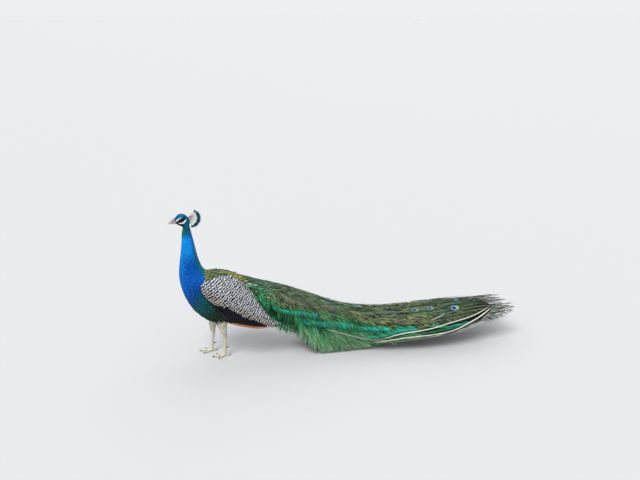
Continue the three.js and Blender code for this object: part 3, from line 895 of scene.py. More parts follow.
class PEACOCK_OT_coat(bpy.types.Operator):
    """Lays the small feathers of the face, neck, breast, back and thighs"""

    bl_idname = "peacock.coat"
    bl_label = "Body feathers"

    def execute(self, context):
        look = context.scene.peacock_colours
        skin = Ground(bpy.data.objects["skin"])
        zone = zone_of(skin.places[skin.faces].mean(1))

        def body_only(centre, normal):
            bare, _ = face_marks(centre)
            mouth = (centre[:, 1] < -0.1765 - 0.2545 * (centre[:, 2] - 0.745)) & (centre[:, 2] > 0.74)
            eye = np.hypot(centre[:, 1] - EYE[1], centre[:, 2] - EYE[2]) < 0.0062
            eye &= np.abs(centre[:, 0]) > 0.008
            return (zone == 0) * (bare < 0.2) * ~mouth * ~eye

        roots, _ = skin.scatter(body_spacing, body_only)
        reach, high = body_place(roots)
        gap = body_spacing(roots)
        mantle = mantle_share(roots, high)
        tone = self.tones(roots, mantle)

        def marked(shader, code):
            """1 on the feathers whose tone is the code."""
            return shader.math("LESS_THAN", shader.apart(shader.read("tone"), code), 0.3)

        def paint(shader):
            tone = shader.read("tone")
            base = shader.mix(shader.math("MAXIMUM", tone, 0.0, clamp=True), body_colour(shader), look.gold)
            base = shader.mix(marked(shader, WHITE_TONE), base, look.streak)
            base = shader.mix(marked(shader, BROWN_TONE), base, look.brown)
            edge = web(shader, 0.45, 0.35)
            scaly = shader.times(shader.read("mantle"), shader.between(shader.read("reach"), 0.75, 0.55))
            rim = shader.times(edge["Rim"], shader.linear(scaly, 0.85, 0.12))
            base = shader.mix(rim, base, tint("1b2a22"))
            base = shader.mix(shader.times(tone, DARK_TONE, clamp=True), base, look.loral)
            return shader.lit(base, edge["Light"])

        body_web = finish_of("Body feather", paint, roughness=0.45, metallic=0.45, specular=0.12)
        small = Vane([0.8, 1.0, 0.75], 3)
        long = gap * np.where(tone == WHITE_TONE, 3.6, 3.0)
        broad = gap * np.where(tone == WHITE_TONE, 0.9, 1.35)
        for name, start, end in BODY_PIECES:
            here = (reach >= start) & (reach < end)
            coat = Plumage()
            lay_vanes(coat, skin, small, roots[here], body_heading(roots[here]), long[here], broad[here],
                      lift=0.10, yaw=8.0, spread=0.15, base=0.0004, tone=tone[here], mantle=mantle[here])
            coat.piece(name, body_web, "blue_plumage")

        roots, _ = skin.scatter(lambda p: np.full(len(p), 0.007), lambda c, n: (zone == 2) * 1.0)
        down = np.tile([0.0, 0.25, -1.0], (len(roots), 1))
        coat = Plumage()
        lay_vanes(coat, skin, small, roots, down, 0.020, 0.010, lift=0.10, base=0.0004)
        self.cuffs(coat, skin.places, small)
        thigh = finish_of("Thigh feather", lambda s: s.lit(look.thigh, web(s)["Light"]), roughness=0.7)
        coat.piece("thigh_feathers", thigh, "buff_plumage")
        return {"FINISHED"}

    def tones(self, roots, mantle):
        """The tone of each feather: gold scales, specks and collar, the two markings and the eye's line."""
        _, y, z = roots.T
        count = len(roots)
        gold = smooth(-0.003, 0.003, stroke(y, z, GOLD)) * rng.uniform(0.3, 1.0, count) ** 0.5
        gold = gold * (rng.random(count) < 0.8)
        specks = (rng.random(count) < 0.22) * (1 - smooth(0.0, 0.05, y)) * (1 - smooth(0.495, 0.515, z))
        gold = np.maximum(gold, 0.45 * specks) + 0.40 * smooth(-0.003, 0.003, stroke(y, z, COLLAR))
        tone = np.where(face_marks(roots)[1] > 0.0, DARK_TONE, np.clip(gold, 0, 1) * (mantle > 0.3))
        tone = np.where(stroke(y, z, BROWN_PATCH) > 0, BROWN_TONE, tone)
        return np.where(stroke(y, z, WHITE_STREAK) > 0, WHITE_TONE, tone)

    def cuffs(self, coat, points, vane):
        """Feathers that hang from the lower end of each thigh over the top of the shank."""
        for thigh in THIGHS:
            low, high = (np.array(corner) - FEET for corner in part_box(thigh))
            near = np.abs(points[:, 0] - (low[0] + high[0]) / 2) < 0.04
            near &= np.abs(points[:, 2] - low[2] - 0.010) < 0.006
            centre = points[near].mean(0)
            radius = np.percentile(np.hypot(*(points[near] - centre)[:, :2].T), 70)
            for count, drop, length in ((26, 0.010, 0.020), (22, 0.000, 0.022), (18, -0.006, 0.020)):
                turn = (np.arange(count) + rng.random(count) * 0.6) / count * 2 * math.pi
                out = np.stack([np.cos(turn), np.sin(turn), np.zeros(count)], 1)[:, None]
                rows = vane.rows[None, :, None]
                inward = radius * (1.05 - 0.42 * rows * length / 0.02 - 0.35 * (0.010 - drop) / 0.016)
                at = centre + out * inward
                fall = rows[..., 0] * length * rng.uniform(0.85, 1.15, (count, 1))
                at[..., 2] = low[2] + drop + 0.002 - fall
                reach, high_side = np.full(count, 0.9), np.zeros(count)
                spots = patches(body_spot(reach, high_side, at[:, 0]), vane)
                lay_paths(coat, vane, at, np.repeat(out, len(vane.rows), 1), 0.0085, spots,
                          tone=np.zeros(count), reach=reach, high=high_side)


# ---------------- wings


def wing_way(points):
    """The way that the shoulder feathers lie: steep in front, flatter behind."""
    angle = np.radians(np.interp(points[:, 1], [-0.08, 0.05, 0.25], [-52, -42, -32]))
    return np.stack([np.zeros(len(points)), np.cos(angle), np.sin(angle)], 1)


# The wing's bars stand round this y and z. At this distance from it they are their set spacing apart.
BAR_CENTRE = (0.602, 0.861)
BAR_RADIUS = 0.80
# The chestnut edge under the wing, as y and z, and how far out from the middle it stands at each y.
PRIMARY_LINE = (
    (0.035, 0.226), (0.055, 0.230), (0.075, 0.228), (0.109, 0.217), (0.197, 0.199), (0.250, 0.189),
    (0.290, 0.185),
)
PRIMARY_OUT = ((0.04, 0.088), (0.07, 0.104), (0.20, 0.104), (0.26, 0.090))
# Where the first and the last secondary start and end, as y and z.
SECONDARY_STARTS = np.array(((-0.055, 0.360), (0.15, 0.285)))
SECONDARY_ENDS = np.array(((0.075, 0.236), (0.305, 0.196)))
# How far apart the shoulder feathers are and how long each is, for places from front to back.
SHOULDER_GAPS = ((-0.08, 0.0062), (0.0, 0.0078), (0.2, 0.0110))
SHOULDER_LENGTHS = ((-0.08, 0.018), (0.0, 0.025), (0.2, 0.040))


def on_side(ground, side, places):
    """Where straight looks from the side meet the ground, for places given as y and z."""
    return np.array([tuple(ground.from_side(side, y, z) or (side * 0.09, y, z)) for y, z in places])


class PEACOCK_OT_wings(bpy.types.Operator):
    """Lays the barred shoulder feathers and the long feathers under them on both wings"""

    bl_idname = "peacock.wings"
    bl_label = "Wing feathers"

    def execute(self, context):
        look, sizes = context.scene.peacock_colours, context.scene.peacock_sizes
        skin = Ground(bpy.data.objects["skin"])
        zone = zone_of(skin.places[skin.faces].mean(1))

        def barred(shader):
            _, y, z = shader.axes()
            rise, run = shader.minus(z, BAR_CENTRE[1]), shader.minus(y, BAR_CENTRE[0])
            phase = shader.math("DIVIDE", shader.math("ARCTAN2", rise, run), sizes.wing_bar / BAR_RADIUS)
            phase = shader.math("ADD", shader.noise(60.0, 1.0), phase)
            phase = shader.linear(shader.read("shade"), 0.42, phase)
            wave = shader.math("SINE", shader.times(phase, 2 * math.pi))
            below = shader.between(shader.linear(y, 0.63, z), 0.405, 0.375)
            pale = shader.mix(shader.times(below, shader.noise(45.0)), look.cream, tint("9a8468"))
            base = shader.mix(shader.between(wave, -0.25, 0.12), pale, look.bar)
            return shader.lit(base, web(shader, 0.3, 0.25, 16.0)["Light"])

        dark = rimmed(look.midnight, tint("1d3140"), 0.25, 70.0, share=0.5)
        red = rimmed(look.chestnut, tint("5c3320"), 0.45, 70.0)
        finishes = {
            "barred": finish_of("Barred feather", barred, roughness=0.6),
            "dark": finish_of("Secondary feather", dark, roughness=0.45, metallic=0.1),
            "red": finish_of("Primary feather", red, roughness=0.55),
        }
        small, blade = Vane([0.8, 1.0, 0.95, 0.7], 5), Vane([0.75, 0.95, 1.0, 1.0, 0.97, 0.8, 0.5], 5)
        for side, word in SIDES:

            def shoulder(points, normal):
                above = points[:, 2] > read_off(COVERT_EDGE, points[:, 1]) - 0.002
                return (zone == 1) * above * (normal[:, 0] * side > -0.1) * (points[:, 0] * side > 0)

            roots, _ = skin.scatter(lambda p: read_off(SHOULDER_GAPS, p[:, 1]), shoulder)
            long = read_off(SHOULDER_LENGTHS, roots[:, 1])
            above = roots[:, 2] - read_off(COVERT_EDGE, roots[:, 1])
            coat = Plumage()
            lay_vanes(coat, skin, small, roots, wing_way(roots), long, long * 0.55, lift=0.07,
                      base=0.001 + 0.0065 * smooth(0.060, 0.010, above), yaw=4, sheet=True, cup=0.25)
            coat.piece(f"{word}_shoulder_feathers", finishes["barred"], "barred_plumage")

            share = np.linspace(0, 1, 13)[:, None]
            start, end = (a * (1 - share) + b * share for a, b in (SECONDARY_STARTS, SECONDARY_ENDS))
            way = np.concatenate([np.zeros((len(share), 1)), end - start], 1)
            coat = Plumage()
            lay_vanes(coat, skin, blade, on_side(skin, side, start), unit(way), np.linalg.norm(way, axis=1),
                      0.030, lift=0.004, base=0.0006 + 0.0004 * np.arange(len(share)), yaw=0.6, spread=0.02,
                      sheet=True, cup=0.12)
            coat.piece(f"{word}_secondaries", finishes["dark"], "midnight_plumage")

            for part, finish, slot, *sizing in (
                ("inner_primaries", "dark", "midnight_plumage", 7, 0.011, 0.0045, 0.022),
                ("primaries", "red", "chestnut_plumage", 6, 0.0, 0.0070, 0.0105),
            ):
                coat = Plumage()
                self.low_blades(coat, skin, side, blade, *sizing)
                coat.piece(f"{word}_{part}", finishes[finish], slot)
        return {"FINISHED"}

    def low_blades(self, coat, skin, side, blade, count, rise, lift, width):
        """Long feathers one over the other along the lower edge of the wing."""
        order = np.arange(count)[:, None]
        first = 0.036 + 0.020 * order
        y = first + blade.rows * (0.160 + 0.13 * order / count - first)
        z = read_off(PRIMARY_LINE, y) + rise - 0.0010 * order
        out = np.abs(on_side(skin, side, np.stack([y, z], -1).reshape(-1, 2))[:, 0]).reshape(y.shape)
        out = np.maximum(out, read_off(PRIMARY_OUT, y)) + lift + 0.0004 * order
        paths = np.stack([side * out, y, z], -1)
        ups = np.tile([side, 0.0, 0.25], (*y.shape, 1))
        lay_paths(coat, blade, paths, ups, width, cells(count, blade.shape), cup=0.15)


# ---------------- train

# Where the train's solid part ends, the height of its tips, and how far its rear lies below the bed's top.
TRAIN_SOLID_END = 1.44
TRAIN_TIP_HEIGHT = 0.180
TRAIN_REAR_DROP = 0.009
# The width and the length of the train's unrolled top.
SHEET_SIZE = (0.42, 1.75)


class TrainTop:
    """The top of the folded train as a sheet, found from x and y, that runs on to the tips."""

    def __init__(self, bed):
        rows = np.linspace(0.215, TRAIN_SOLID_END, 44)
        at = bed.places
        half = np.array([np.abs(at[np.abs(at[:, 1] - y) < 0.02, 0]).max() for y in rows])
        self.share = np.linspace(-0.95, 0.95, 23)
        grid = []
        for y, reach in zip(rows, half):
            line = []
            for x in self.share * reach:
                hit = bed.tree.ray_cast(Vector((x, y, 1.0)), Vector((0, 0, -1)))[0]
                line.append((x, y, hit.z if hit else line[-1][2] if line else 0.16))
            grid.append(line)
        grid = np.array(grid)
        grid[:, :, 2] -= TRAIN_REAR_DROP * smooth(0.95, 1.30, grid[:, :, 1])
        more = np.linspace(1.48, 1.74, 7)
        fade = (more - TRAIN_SOLID_END) / 0.30
        last = np.repeat(grid[-1:], len(more), 0)
        last[:, :, 1] = more[:, None]
        last[:, :, 2] = last[:, :, 2] * (1 - fade[:, None]) + TRAIN_TIP_HEIGHT * fade[:, None]
        self.grid = np.concatenate([grid, last])
        self.rows = np.concatenate([rows, more])
        self.half = np.concatenate([half, half[-1] * (1 - 0.16 * (more - TRAIN_SOLID_END) / 0.30)])
        ahead, across = np.gradient(self.grid, axis=0), np.gradient(self.grid, axis=1)
        self.up = unit(np.cross(across, ahead))

    def width(self, y):
        return np.interp(y, self.rows, self.half)

    def find(self, x, y):
        """Places and normals of the sheet over x and y."""
        share = np.clip(x / self.width(y), self.share[0], self.share[-1])
        row = np.clip(np.interp(y, self.rows, np.arange(len(self.rows))), 0, len(self.rows) - 1.001)
        column = np.clip(np.interp(share, self.share, np.arange(len(self.share))), 0, len(self.share) - 1.001)
        r, c = row.astype(int), column.astype(int)
        u, v = (row - r)[..., None], (column - c)[..., None]

        def blend(table):
            near = table[r, c] * (1 - v) + table[r, c + 1] * v
            far = table[r + 1, c] * (1 - v) + table[r + 1, c + 1] * v
            return near * (1 - u) + far * u

        return blend(self.grid), unit(blend(self.up))


def train_end(x):
    """How far back the train reaches at x. The left side trails a little longer."""
    return 1.43 + 0.22 * np.sqrt(np.clip(1 - (x / 0.20) ** 2, 0, 1)) + 0.03 * smooth(0.02, 0.09, x)


def train_patches(places, vane):
    """A small patch of the train's unrolled top for the feather at each x and y."""
    return patches(np.clip(places / SHEET_SIZE + (0.5, 0), 0.01, 0.99), vane)


def spread_out(spacing, places, taken=()):
    """The places that keep a local distance apart, and from those taken already."""
    points = np.concatenate([np.reshape(taken, (-1, 2)), places])
    return points[thinned(np.pad(points, ((0, 0), (0, 1))), spacing(points))]


def barbs_on_top(plumage, vane, top, start, way, angle, length, lift, droop, tone):
    """Barbs that leave their shafts at an angle and bend towards the tip, laid over the train's top."""
    rows = vane.rows[None]
    heading = np.arctan2(way[:, 0], way[:, 1])[:, None] + angle[:, None] * (1 - 0.40 * rows)
    x = start[:, :1] + length[:, None] * rows * np.sin(heading)
    y = start[:, 1:2] + length[:, None] * rows * np.cos(heading)
    at, up = top.find(x, y)
    high = lift[:, None] + 0.0012 - droop[:, None] * rows**2
    over = np.maximum(np.abs(x) - 0.95 * top.width(y), 0)
    at[..., 0] = x - np.sign(x) * 0.6 * over
    at[..., 2] -= 1.2 * over
    width = rng.uniform(0.0016, 0.0027, len(start))
    lay_paths(plumage, vane, at + up * high[..., None], up, width, train_patches(start, vane),
              cup=0.2, ridge=0.3, tone=tone)


def rounded(line, count):
    """Places at even steps along a line whose corners are rounded."""
    line = np.array(line)
    for _ in range(3):
        ahead, behind = line[:-1] * 0.75 + line[1:] * 0.25, line[:-1] * 0.25 + line[1:] * 0.75
        line = np.concatenate([line[:1], np.stack([ahead, behind], 1).reshape(-1, 3), line[-1:]])
    return at_reach(line, np.linspace(0, reach_along(line)[-1], count))


# Where turquoise barbs hang on the train's side: the middle of a band as y and z, its height, and their fall.
TURQUOISE_BANDS = (
    (((0.29, 0.282), (0.38, 0.268), (0.45, 0.258), (0.52, 0.240)), 0.022, 72),
    (((0.44, 0.206), (0.54, 0.194), (0.63, 0.184), (0.71, 0.174)), 0.030, 68),
    (((0.72, 0.160), (0.83, 0.150), (0.90, 0.146)), 0.018, 45),
    (((0.77, 0.101), (0.83, 0.107), (0.90, 0.123), (0.96, 0.136), (1.04, 0.140)), 0.018, 16),
    (((1.13, 0.144), (1.24, 0.139), (1.34, 0.150)), 0.006, 4),
)
# Pale shafts along the train's side, each from front to back: its width, that of the painted shadow strip
# below it, then places in x, y and z.
PALE_SHAFTS = (
    (0.0032, 0, (
        (0.116, 0.570, 0.160), (0.125, 0.668, 0.127), (0.133, 0.751, 0.101), (0.140, 0.850, 0.082),
        (0.155, 0.950, 0.083),
    )),
    (0.0072, 0.014, (
        (0.120, 0.820, 0.066), (0.148, 0.900, 0.084), (0.165, 0.973, 0.100), (0.174, 1.079, 0.106),
        (0.178, 1.186, 0.114), (0.174, 1.254, 0.120), (0.169, 1.321, 0.133), (0.153, 1.392, 0.152),
        (0.121, 1.472, 0.172), (0.060, 1.550, 0.182),
    )),
    (0.0058, 0.014, (
        (0.140, 0.870, 0.096), (0.165, 0.973, 0.116), (0.170, 1.080, 0.124), (0.170, 1.144, 0.133),
        (0.164, 1.234, 0.144), (0.152, 1.354, 0.160), (0.120, 1.450, 0.176), (0.060, 1.530, 0.182),
    )),
    (0.0046, 0, (
        (0.118, 0.830, 0.058), (0.128, 0.900, 0.050), (0.140, 0.985, 0.052), (0.152, 1.091, 0.061),
        (0.166, 1.149, 0.082), (0.173, 1.198, 0.104), (0.172, 1.260, 0.114),
    )),
    (0.0036, 0, (
        (0.150, 1.230, 0.078), (0.158, 1.300, 0.098), (0.155, 1.373, 0.118), (0.146, 1.430, 0.136),
        (0.130, 1.500, 0.154), (0.090, 1.575, 0.172), (0.070, 1.640, 0.190),
    )),
    (0.0028, 0, ((0.166, 1.280, 0.108), (0.160, 1.360, 0.132), (0.142, 1.440, 0.152), (0.105, 1.530, 0.176))),
)
# Single shafts that stand off the train.
LOOSE_SHAFTS = (
    (0.0036, ((0.135, 1.155, 0.163), (0.122, 1.204, 0.176), (0.100, 1.248, 0.190))),
    (0.0034, (
        (-0.120, 0.960, 0.160), (-0.138, 1.060, 0.170), (-0.148, 1.150, 0.186), (-0.154, 1.225, 0.206),
    )),
)
# The lower and the upper end of the hanging barbs, and the edge between brown and green above them: y and z.
HEM = (
    (0.18, 0.25), (0.26, 0.20), (0.34, 0.15), (0.42, 0.115), (0.47, 0.060), (0.51, 0.012), (0.56, 0.006),
    (0.66, 0.006), (0.74, 0.014), (0.82, 0.022), (0.90, 0.036), (0.99, 0.052), (1.16, 0.074), (1.34, 0.115),
    (1.50, 0.158),
)
CURTAIN_TOP = (
    (0.18, 0.375), (0.25, 0.345), (0.40, 0.285), (0.66, 0.228), (0.90, 0.165), (1.10, 0.135), (1.30, 0.165),
)
GREEN_TOP = (
    (0.26, 0.360), (0.35, 0.325), (0.45, 0.284), (0.52, 0.260), (0.65, 0.214), (0.75, 0.174), (0.80, 0.162),
)
# How steeply the hanging barbs fall at each y, in degrees.
FALL = (
    (0.2, 88), (0.45, 84), (0.55, 76), (0.65, 65), (0.75, 52), (0.85, 42), (0.95, 32), (1.1, 22), (1.3, 16),
)
# Orange flecks on the root of the train: a line of y, z and half width.
FLECKS = (
    (0.268, 0.362, 0.007), (0.312, 0.336, 0.008), (0.315, 0.318, 0.007), (0.350, 0.318, 0.008),
    (0.382, 0.322, 0.006),
)
# Where the eyespots that show on the left lie, as x and y.
EYESPOTS_SEEN = ((0.050, 1.350), (0.030, 1.120), (0.026, 1.210), (-0.014, 0.630))
# The locks of the hanging barbs: their number, barbs in each, depth, share of the way down, spread, greatest
# length, and their lowest and highest glow. A glow below 0 is painted shade on the locks beneath.
LOCKS = (
    (420, 6, -0.006, 0.62, 0.020, 0.090, -1.0, -0.5),
    (330, 9, -0.002, 0.93, 0.012, 0.115, -0.8, 0.0),
    (140, 6, 0.002, 1.10, 0.004, 0.135, 0.30, 1.0),
    (80, 3, 0.006, 1.30, 0.003, 0.170, 0.55, 1.0),
)
# How far a hanging barb may step in or out from one of its rows to the next.
SIDE_STEP = 0.016


def hanging(plumage, vane, ground, side, y, z, reach, fall, lift, width, gather=None, **values):
    """Barbs that leave the side of the train at y and z and bend down towards the ground."""
    rows = vane.rows[None]
    angle = fall[:, None] * (0.80 + 0.24 * rows)
    step = np.diff(rows, axis=1, prepend=0) * reach[:, None]
    ys = y[:, None] + np.cumsum(step * np.cos(angle), 1)
    zs = z[:, None] - np.cumsum(step * np.sin(angle), 1)
    if gather is not None:
        ys += (gather - ys[:, -1])[:, None] * rows**1.5
    zs = np.maximum(zs, 0.003 + 0.003 * rng.random((len(y), 1)))
    out = np.full(ys.shape, np.nan)
    for place in np.ndindex(ys.shape):
        hit = ground.from_side(side, ys[place], zs[place])
        if hit and hit.x * side > 0.04:
            out[place] = abs(hit.x)
    out[:, 0] = np.where(np.isnan(out[:, 0]), 0.09, out[:, 0])
    for k in range(1, out.shape[1]):
        held = np.where(np.isnan(out[:, k]), out[:, k - 1], out[:, k])
        out[:, k] = np.clip(held, out[:, k - 1] - SIDE_STEP, out[:, k - 1] + SIDE_STEP)
    at = np.stack([side * (out + lift[:, None] + 0.003 * rows), ys, zs], -1)
    ups = np.tile([side, 0.0, 0.2], (*ys.shape, 1))
    spots = np.clip(np.stack([0.5 + side * (0.05 + z), y / SHEET_SIZE[1]], 1), 0.01, 0.99)
    lay_paths(plumage, vane, at, ups, width, patches(spots, vane), cup=0.2, ridge=0.3, **values)


# The tail from front to back: half its width, and its height, over y.
TAIL_HALF = ((0.225, 0.022), (0.33, 0.040), (0.45, 0.060), (0.56, 0.074), (0.68, 0.080))
TAIL_LINE = ((0.225, 0.238), (0.33, 0.196), (0.45, 0.142), (0.56, 0.098), (0.64, 0.071), (0.68, 0.060))


class PEACOCK_OT_tail(bpy.types.Operator):
    """Makes the short brown tail that the train lies on"""

    bl_idname = "peacock.tail"
    bl_label = "Tail"

    def execute(self, context):
        look = context.scene.peacock_colours
        low, high = (np.array(corner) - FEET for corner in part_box("tail"))
        blade = Vane([0.55, 0.8, 0.95, 1.0, 1.0, 0.95, 0.75], 5)
        count = 11
        share = np.linspace(-1, 1, count)[:, None]
        y = low[1] + 0.010 + blade.rows[None] * (high[1] - low[1] - 0.020 - 0.045 * share**2)
        z = read_off(TAIL_LINE, y) + 0.012 * (1 - np.abs(share)) - 0.004
        paths = np.stack([share * read_off(TAIL_HALF, y), y, z], -1)
        ups = unit(np.stack([share * 0.3 + 0 * y, 0.3 + 0 * y, 1 + 0 * y], -1))
        finish = finish_of("Tail feather", rimmed(look.tail, tint("2c2118"), 0.25, 80.0), roughness=0.6)
        coat = Plumage()
        lay_paths(coat, blade, paths, ups, 0.042, cells(count, blade.shape), cup=0.1)
        coat.piece("tail_feathers", finish, "tail_plumage", ["tail"])
        return {"FINISHED"}


# For feathers of the train that end at each y: how far apart their ends are, and how long they are. For the
# fine covers over its root: how far apart they are. Then how far apart the barbs leave a shaft.
END_GAPS = ((0.5, 0.036), (1.2, 0.046), (1.42, 0.036), (1.6, 0.028))
FEATHER_LENGTHS = ((0.5, 0.20), (0.8, 0.24), (1.6, 0.30))
COVER_GAPS = ((0.22, 0.0062), (0.62, 0.0095))
BARB_STEP = 0.0044
# The chance of an eyespot, for shares of the half width from the right to the left.
EYE_CHANCES = ((-0.95, 0.0), (-0.7, 0.30), (-0.3, 0.30), (-0.1, 0.08), (0.1, 0.02), (0.5, 0.0))


class PEACOCK_OT_train(bpy.types.Operator):
    """Lays the long feathers of the train with their eyespots, and the barbs that hang from its sides"""

    bl_idname = "peacock.train"
    bl_label = "Train feathers"

    def execute(self, context):
        look, sizes = context.scene.peacock_colours, context.scene.peacock_sizes
        bed = Ground(bpy.data.objects["train_bed"])
        top = TrainTop(bed)
        finishes = self.finishes(look)
        shafts = Plumage()
        self.long_feathers(top, shafts, sizes, finishes["top"], self.eyespot_finish(look))

        solid = solid_ground(["rump", *TRAIN, "fringe_left", "fringe_right"])
        # Painted shadow: near-black strips laid under the pale shafts.
        dark = Plumage()
        for side, word in SIDES:
            curtain = self.curtain(solid, side)
            curtain.piece(f"hanging_barbs_{word}", finishes["side"], "fringe", [f"fringe_{word}"])
            self.bands(solid, side).piece(f"turquoise_barbs_{word}", finishes["strip"], "fringe")
            for width, gap, line in PALE_SHAFTS:
                place = np.array(line) * (side, 1, 1) - (0, 0, 0.012 * (side < 0))
                lift = 0.0095 + 0.0070 * (line[-1][2] > 0.175) * (side > 0)
                self.lay_line(shafts, solid, place, width, lift)
                # A painted shadow strip under the shaft, where the table gives one.
                if gap:
                    self.lay_line(dark, solid, place - (0, 0, 0.007), gap, 0.0050)
        for width, line in LOOSE_SHAFTS:
            self.lay_line(shafts, solid, np.array(line), width, 0.0095)
        dark.piece("painted_shadow_strips", finishes["dark"], "train_plumage")
        shafts.piece("train_shafts", finishes["shaft"], "train_plumage", TIPS)

        hairs = Plumage()
        self.filaments(hairs, Ground(bpy.data.objects["skin"]), bed)
        hairs.piece("rump_filaments", finishes["side"], "fringe")
        return {"FINISHED"}

    def long_feathers(self, top, shafts, sizes, top_finish, eye_finish):
        """The feathers of the train's top: shafts, barbs on both sides of each, fine covers and eyespots."""
        y = rng.uniform(0.50, 1.66, 12000)
        drawn = np.stack([rng.uniform(-0.95, 0.95, len(y)) * top.width(y), y], 1)
        seen = np.array(EYESPOTS_SEEN)
        ends = spread_out(lambda p: read_off(END_GAPS, p[:, 1]), drawn[y < train_end(drawn[:, 0])], seen)
        count = len(ends)
        eyed = self.choose_eyes(ends, top)
        eyed[: len(seen)] = True
        reach = read_off(FEATHER_LENGTHS, ends[:, 1])
        share = ends[:, 0] / top.width(ends[:, 1])
        layer = np.where(eyed, 0.0065, 0.002 + rng.uniform(0, 0.004, count))
        feather_tone = rng.uniform(0, 1, count)

        def shaft_point(which, t):
            """Places at shares of the way along some feathers' shafts, as x and y, and their heights."""
            y = ends[which, 1] - reach[which] * (1 - t)
            return np.stack([share[which] * top.width(y), y], -1), layer[which] + 0.006 * t

        rachis = Vane([1.0, 1.0, 0.95, 0.9, 0.85, 0.75, 0.6, 0.45], 3)
        shown = np.flatnonzero(np.abs(share) < 0.84)
        which = np.repeat(shown[:, None], len(rachis.rows), 1)
        flat, high = shaft_point(which, rachis.rows[None])
        at, up = top.find(flat[..., 0], flat[..., 1])
        at[..., 0] = flat[..., 0]
        lay_paths(shafts, rachis, at + up * (high + 0.001)[..., None], up, 0.0016,
                  train_patches(ends[shown], rachis), cup=0.0, ridge=1.0)

        number = (reach / BARB_STEP).astype(int)
        which = np.repeat(np.arange(count), number)
        t = 0.03 + 0.97 * np.concatenate([np.arange(n) for n in number]) / number[which]
        starts, high = shaft_point(which, t)
        ahead, _ = shaft_point(which, t + 0.01)
        size = sizes.barb * (0.60 + 0.5 * np.sin(math.pi * np.clip(t, 0, 1) ** 1.4))
        size = size * rng.uniform(0.75, 1.25, len(t))
        barb = Vane([1.0, 0.85], 3)
        layers = {word: Plumage() for word in ("front", "middle", "rear", "last", "end")}
        band = np.digitize(ends[which, 1], [0.80, 1.05, 1.28, 1.47])
        for hand in (-1, 1):
            outer = np.clip(hand * share[which] * 2.5, -1, 1)
            steep = np.interp(t, [0, 0.8, 1], [1, 0.85, 0.2]) * (44 + 12 * outer)
            turn = hand * np.radians(steep) * rng.uniform(0.8, 1.2, len(t))
            clump = (t * reach[which] / 0.010).astype(int) + 64 * which
            # Painted shade: about a third of the clumps of barbs are near black, as the gaps between clumps.
            gap = rng.random(64 * (count + 1))[clump] < 0.36
            tones = np.clip(feather_tone[which] * 0.85 + 0.15 + rng.normal(0, 0.10, len(t)), 0, 1)
            tones = np.where(gap, rng.uniform(0, 0.10, len(t)), tones)
            long = size * (1 + 0.15 * outer)
            for k, coat in enumerate(layers.values()):
                here = band == k
                barbs_on_top(coat, barb, top, starts[here], (ahead - starts)[here], turn[here], long[here],
                             high[here] + rng.uniform(-0.001, 0.002, here.sum()),
                             rng.uniform(0.001, 0.005, here.sum()), tones[here])
        for word, coat in layers.items():
            coat.piece(f"train_barbs_{word}", top_finish, "train_plumage")

        y = rng.uniform(0.215, 0.64, 16000)
        drawn = np.stack([rng.uniform(-0.95, 0.95, len(y)) * top.width(y), y], 1)
        roots = spread_out(lambda p: read_off(COVER_GAPS, p[:, 1]), drawn)
        cover = Plumage()
        self.covers(cover, Vane([0.85, 1.0, 0.7], 3), top, roots)
        cover.piece("train_covers", top_finish, "train_plumage")

        eyes = Plumage()
        vivid = np.where(np.arange(eyed.sum()) == 0, 1.0, rng.uniform(0.35, 0.75, eyed.sum()))
        high = layer[eyed] + 0.0105 - 0.0045 * smooth(0.0, -0.04, ends[eyed, 0])
        self.eyespots(eyes, top, ends[eyed], high, sizes.eyespot, vivid)
        eyes.piece("eyespots", eye_finish, "train_plumage")

    def finishes(self, look):
        def streaked(shader, colour, root_shade):
            """Each barb has its own lightness, so that single barbs show."""
            uneven = shader.linear(shader.math("POWER", shader.read("shade"), 1.5), 1.15, 0.42)
            return shader.lit(colour, shader.times(web(shader, root_shade, 0.2)["Light"], uneven))

        def top_barb(shader):
            (x, y, _), tone = shader.axes(), shader.read("tone")
            base = shader.ramp(tone, [
                (0.0, tint("18261e")), (0.12, tint("26362a")), (0.20, look.bronze), (0.38, look.olive),
                (0.55, tint("7aa472")), (0.72, tint("3c8056")), (0.86, tint("74986a")), (1.0, tint("989a58")),
            ])
            near_edge = shader.between(shader.math("ABSOLUTE", x), 0.035, 0.095)
            near_edge = shader.times(near_edge, shader.between(tone, 0.10, 0.22))
            behind = shader.times(shader.between(y, 0.66, 0.78), shader.between(y, 1.30, 1.05))
            before = shader.between(y, 0.72, 0.60)
            for where, share, colour in (
                (shader.between(shader.noise(7.0, 1.0), 0.52, 0.66), 0.45, tint("2f6060")),
                (shader.between(y, 0.72, 0.40), 0.55, tint("63685a")),
                (shader.times(behind, near_edge), 0.5, tint("aeaa74")),
                (shader.times(before, near_edge), 0.50, tint("7e7862")),
                (shader.between(y, 1.15, 1.50), 0.7, look.umber),
            ):
                base = shader.mix(shader.times(where, share), base, colour)
            return streaked(shader, base, 0.45)

        def side_barb(shader):
            tone, along, glow = shader.read("tone"), shader.read("along"), shader.read("glow")
            near = shader.mix(shader.between(tone, 0.3, 0.9), look.emerald, look.turquoise)
            base = shader.mix(shader.between(along, 0.15, 0.45), near, look.emerald)
            tip = shader.times(shader.between(along, 0.1, 0.8), shader.math("MAXIMUM", glow, 0.0, clamp=True))
            base = shader.mix(tip, base, look.leaf)
            # Painted shade: a glow below 0 darkens a barb, on the locks beneath the others.
            base = shader.mix(shader.times(glow, -1.0, clamp=True), base, tint("122a1e"))
            brown = mottled(30.0, tint("4c4c3c"), tint("84826a"))(shader)
            base = shader.mix(shader.times(tone, -1.0, clamp=True), base, brown)
            base = shader.mix(shader.minus(glow, 1.0, clamp=True), base, look.fleck)
            return streaked(shader, base, 0.25)

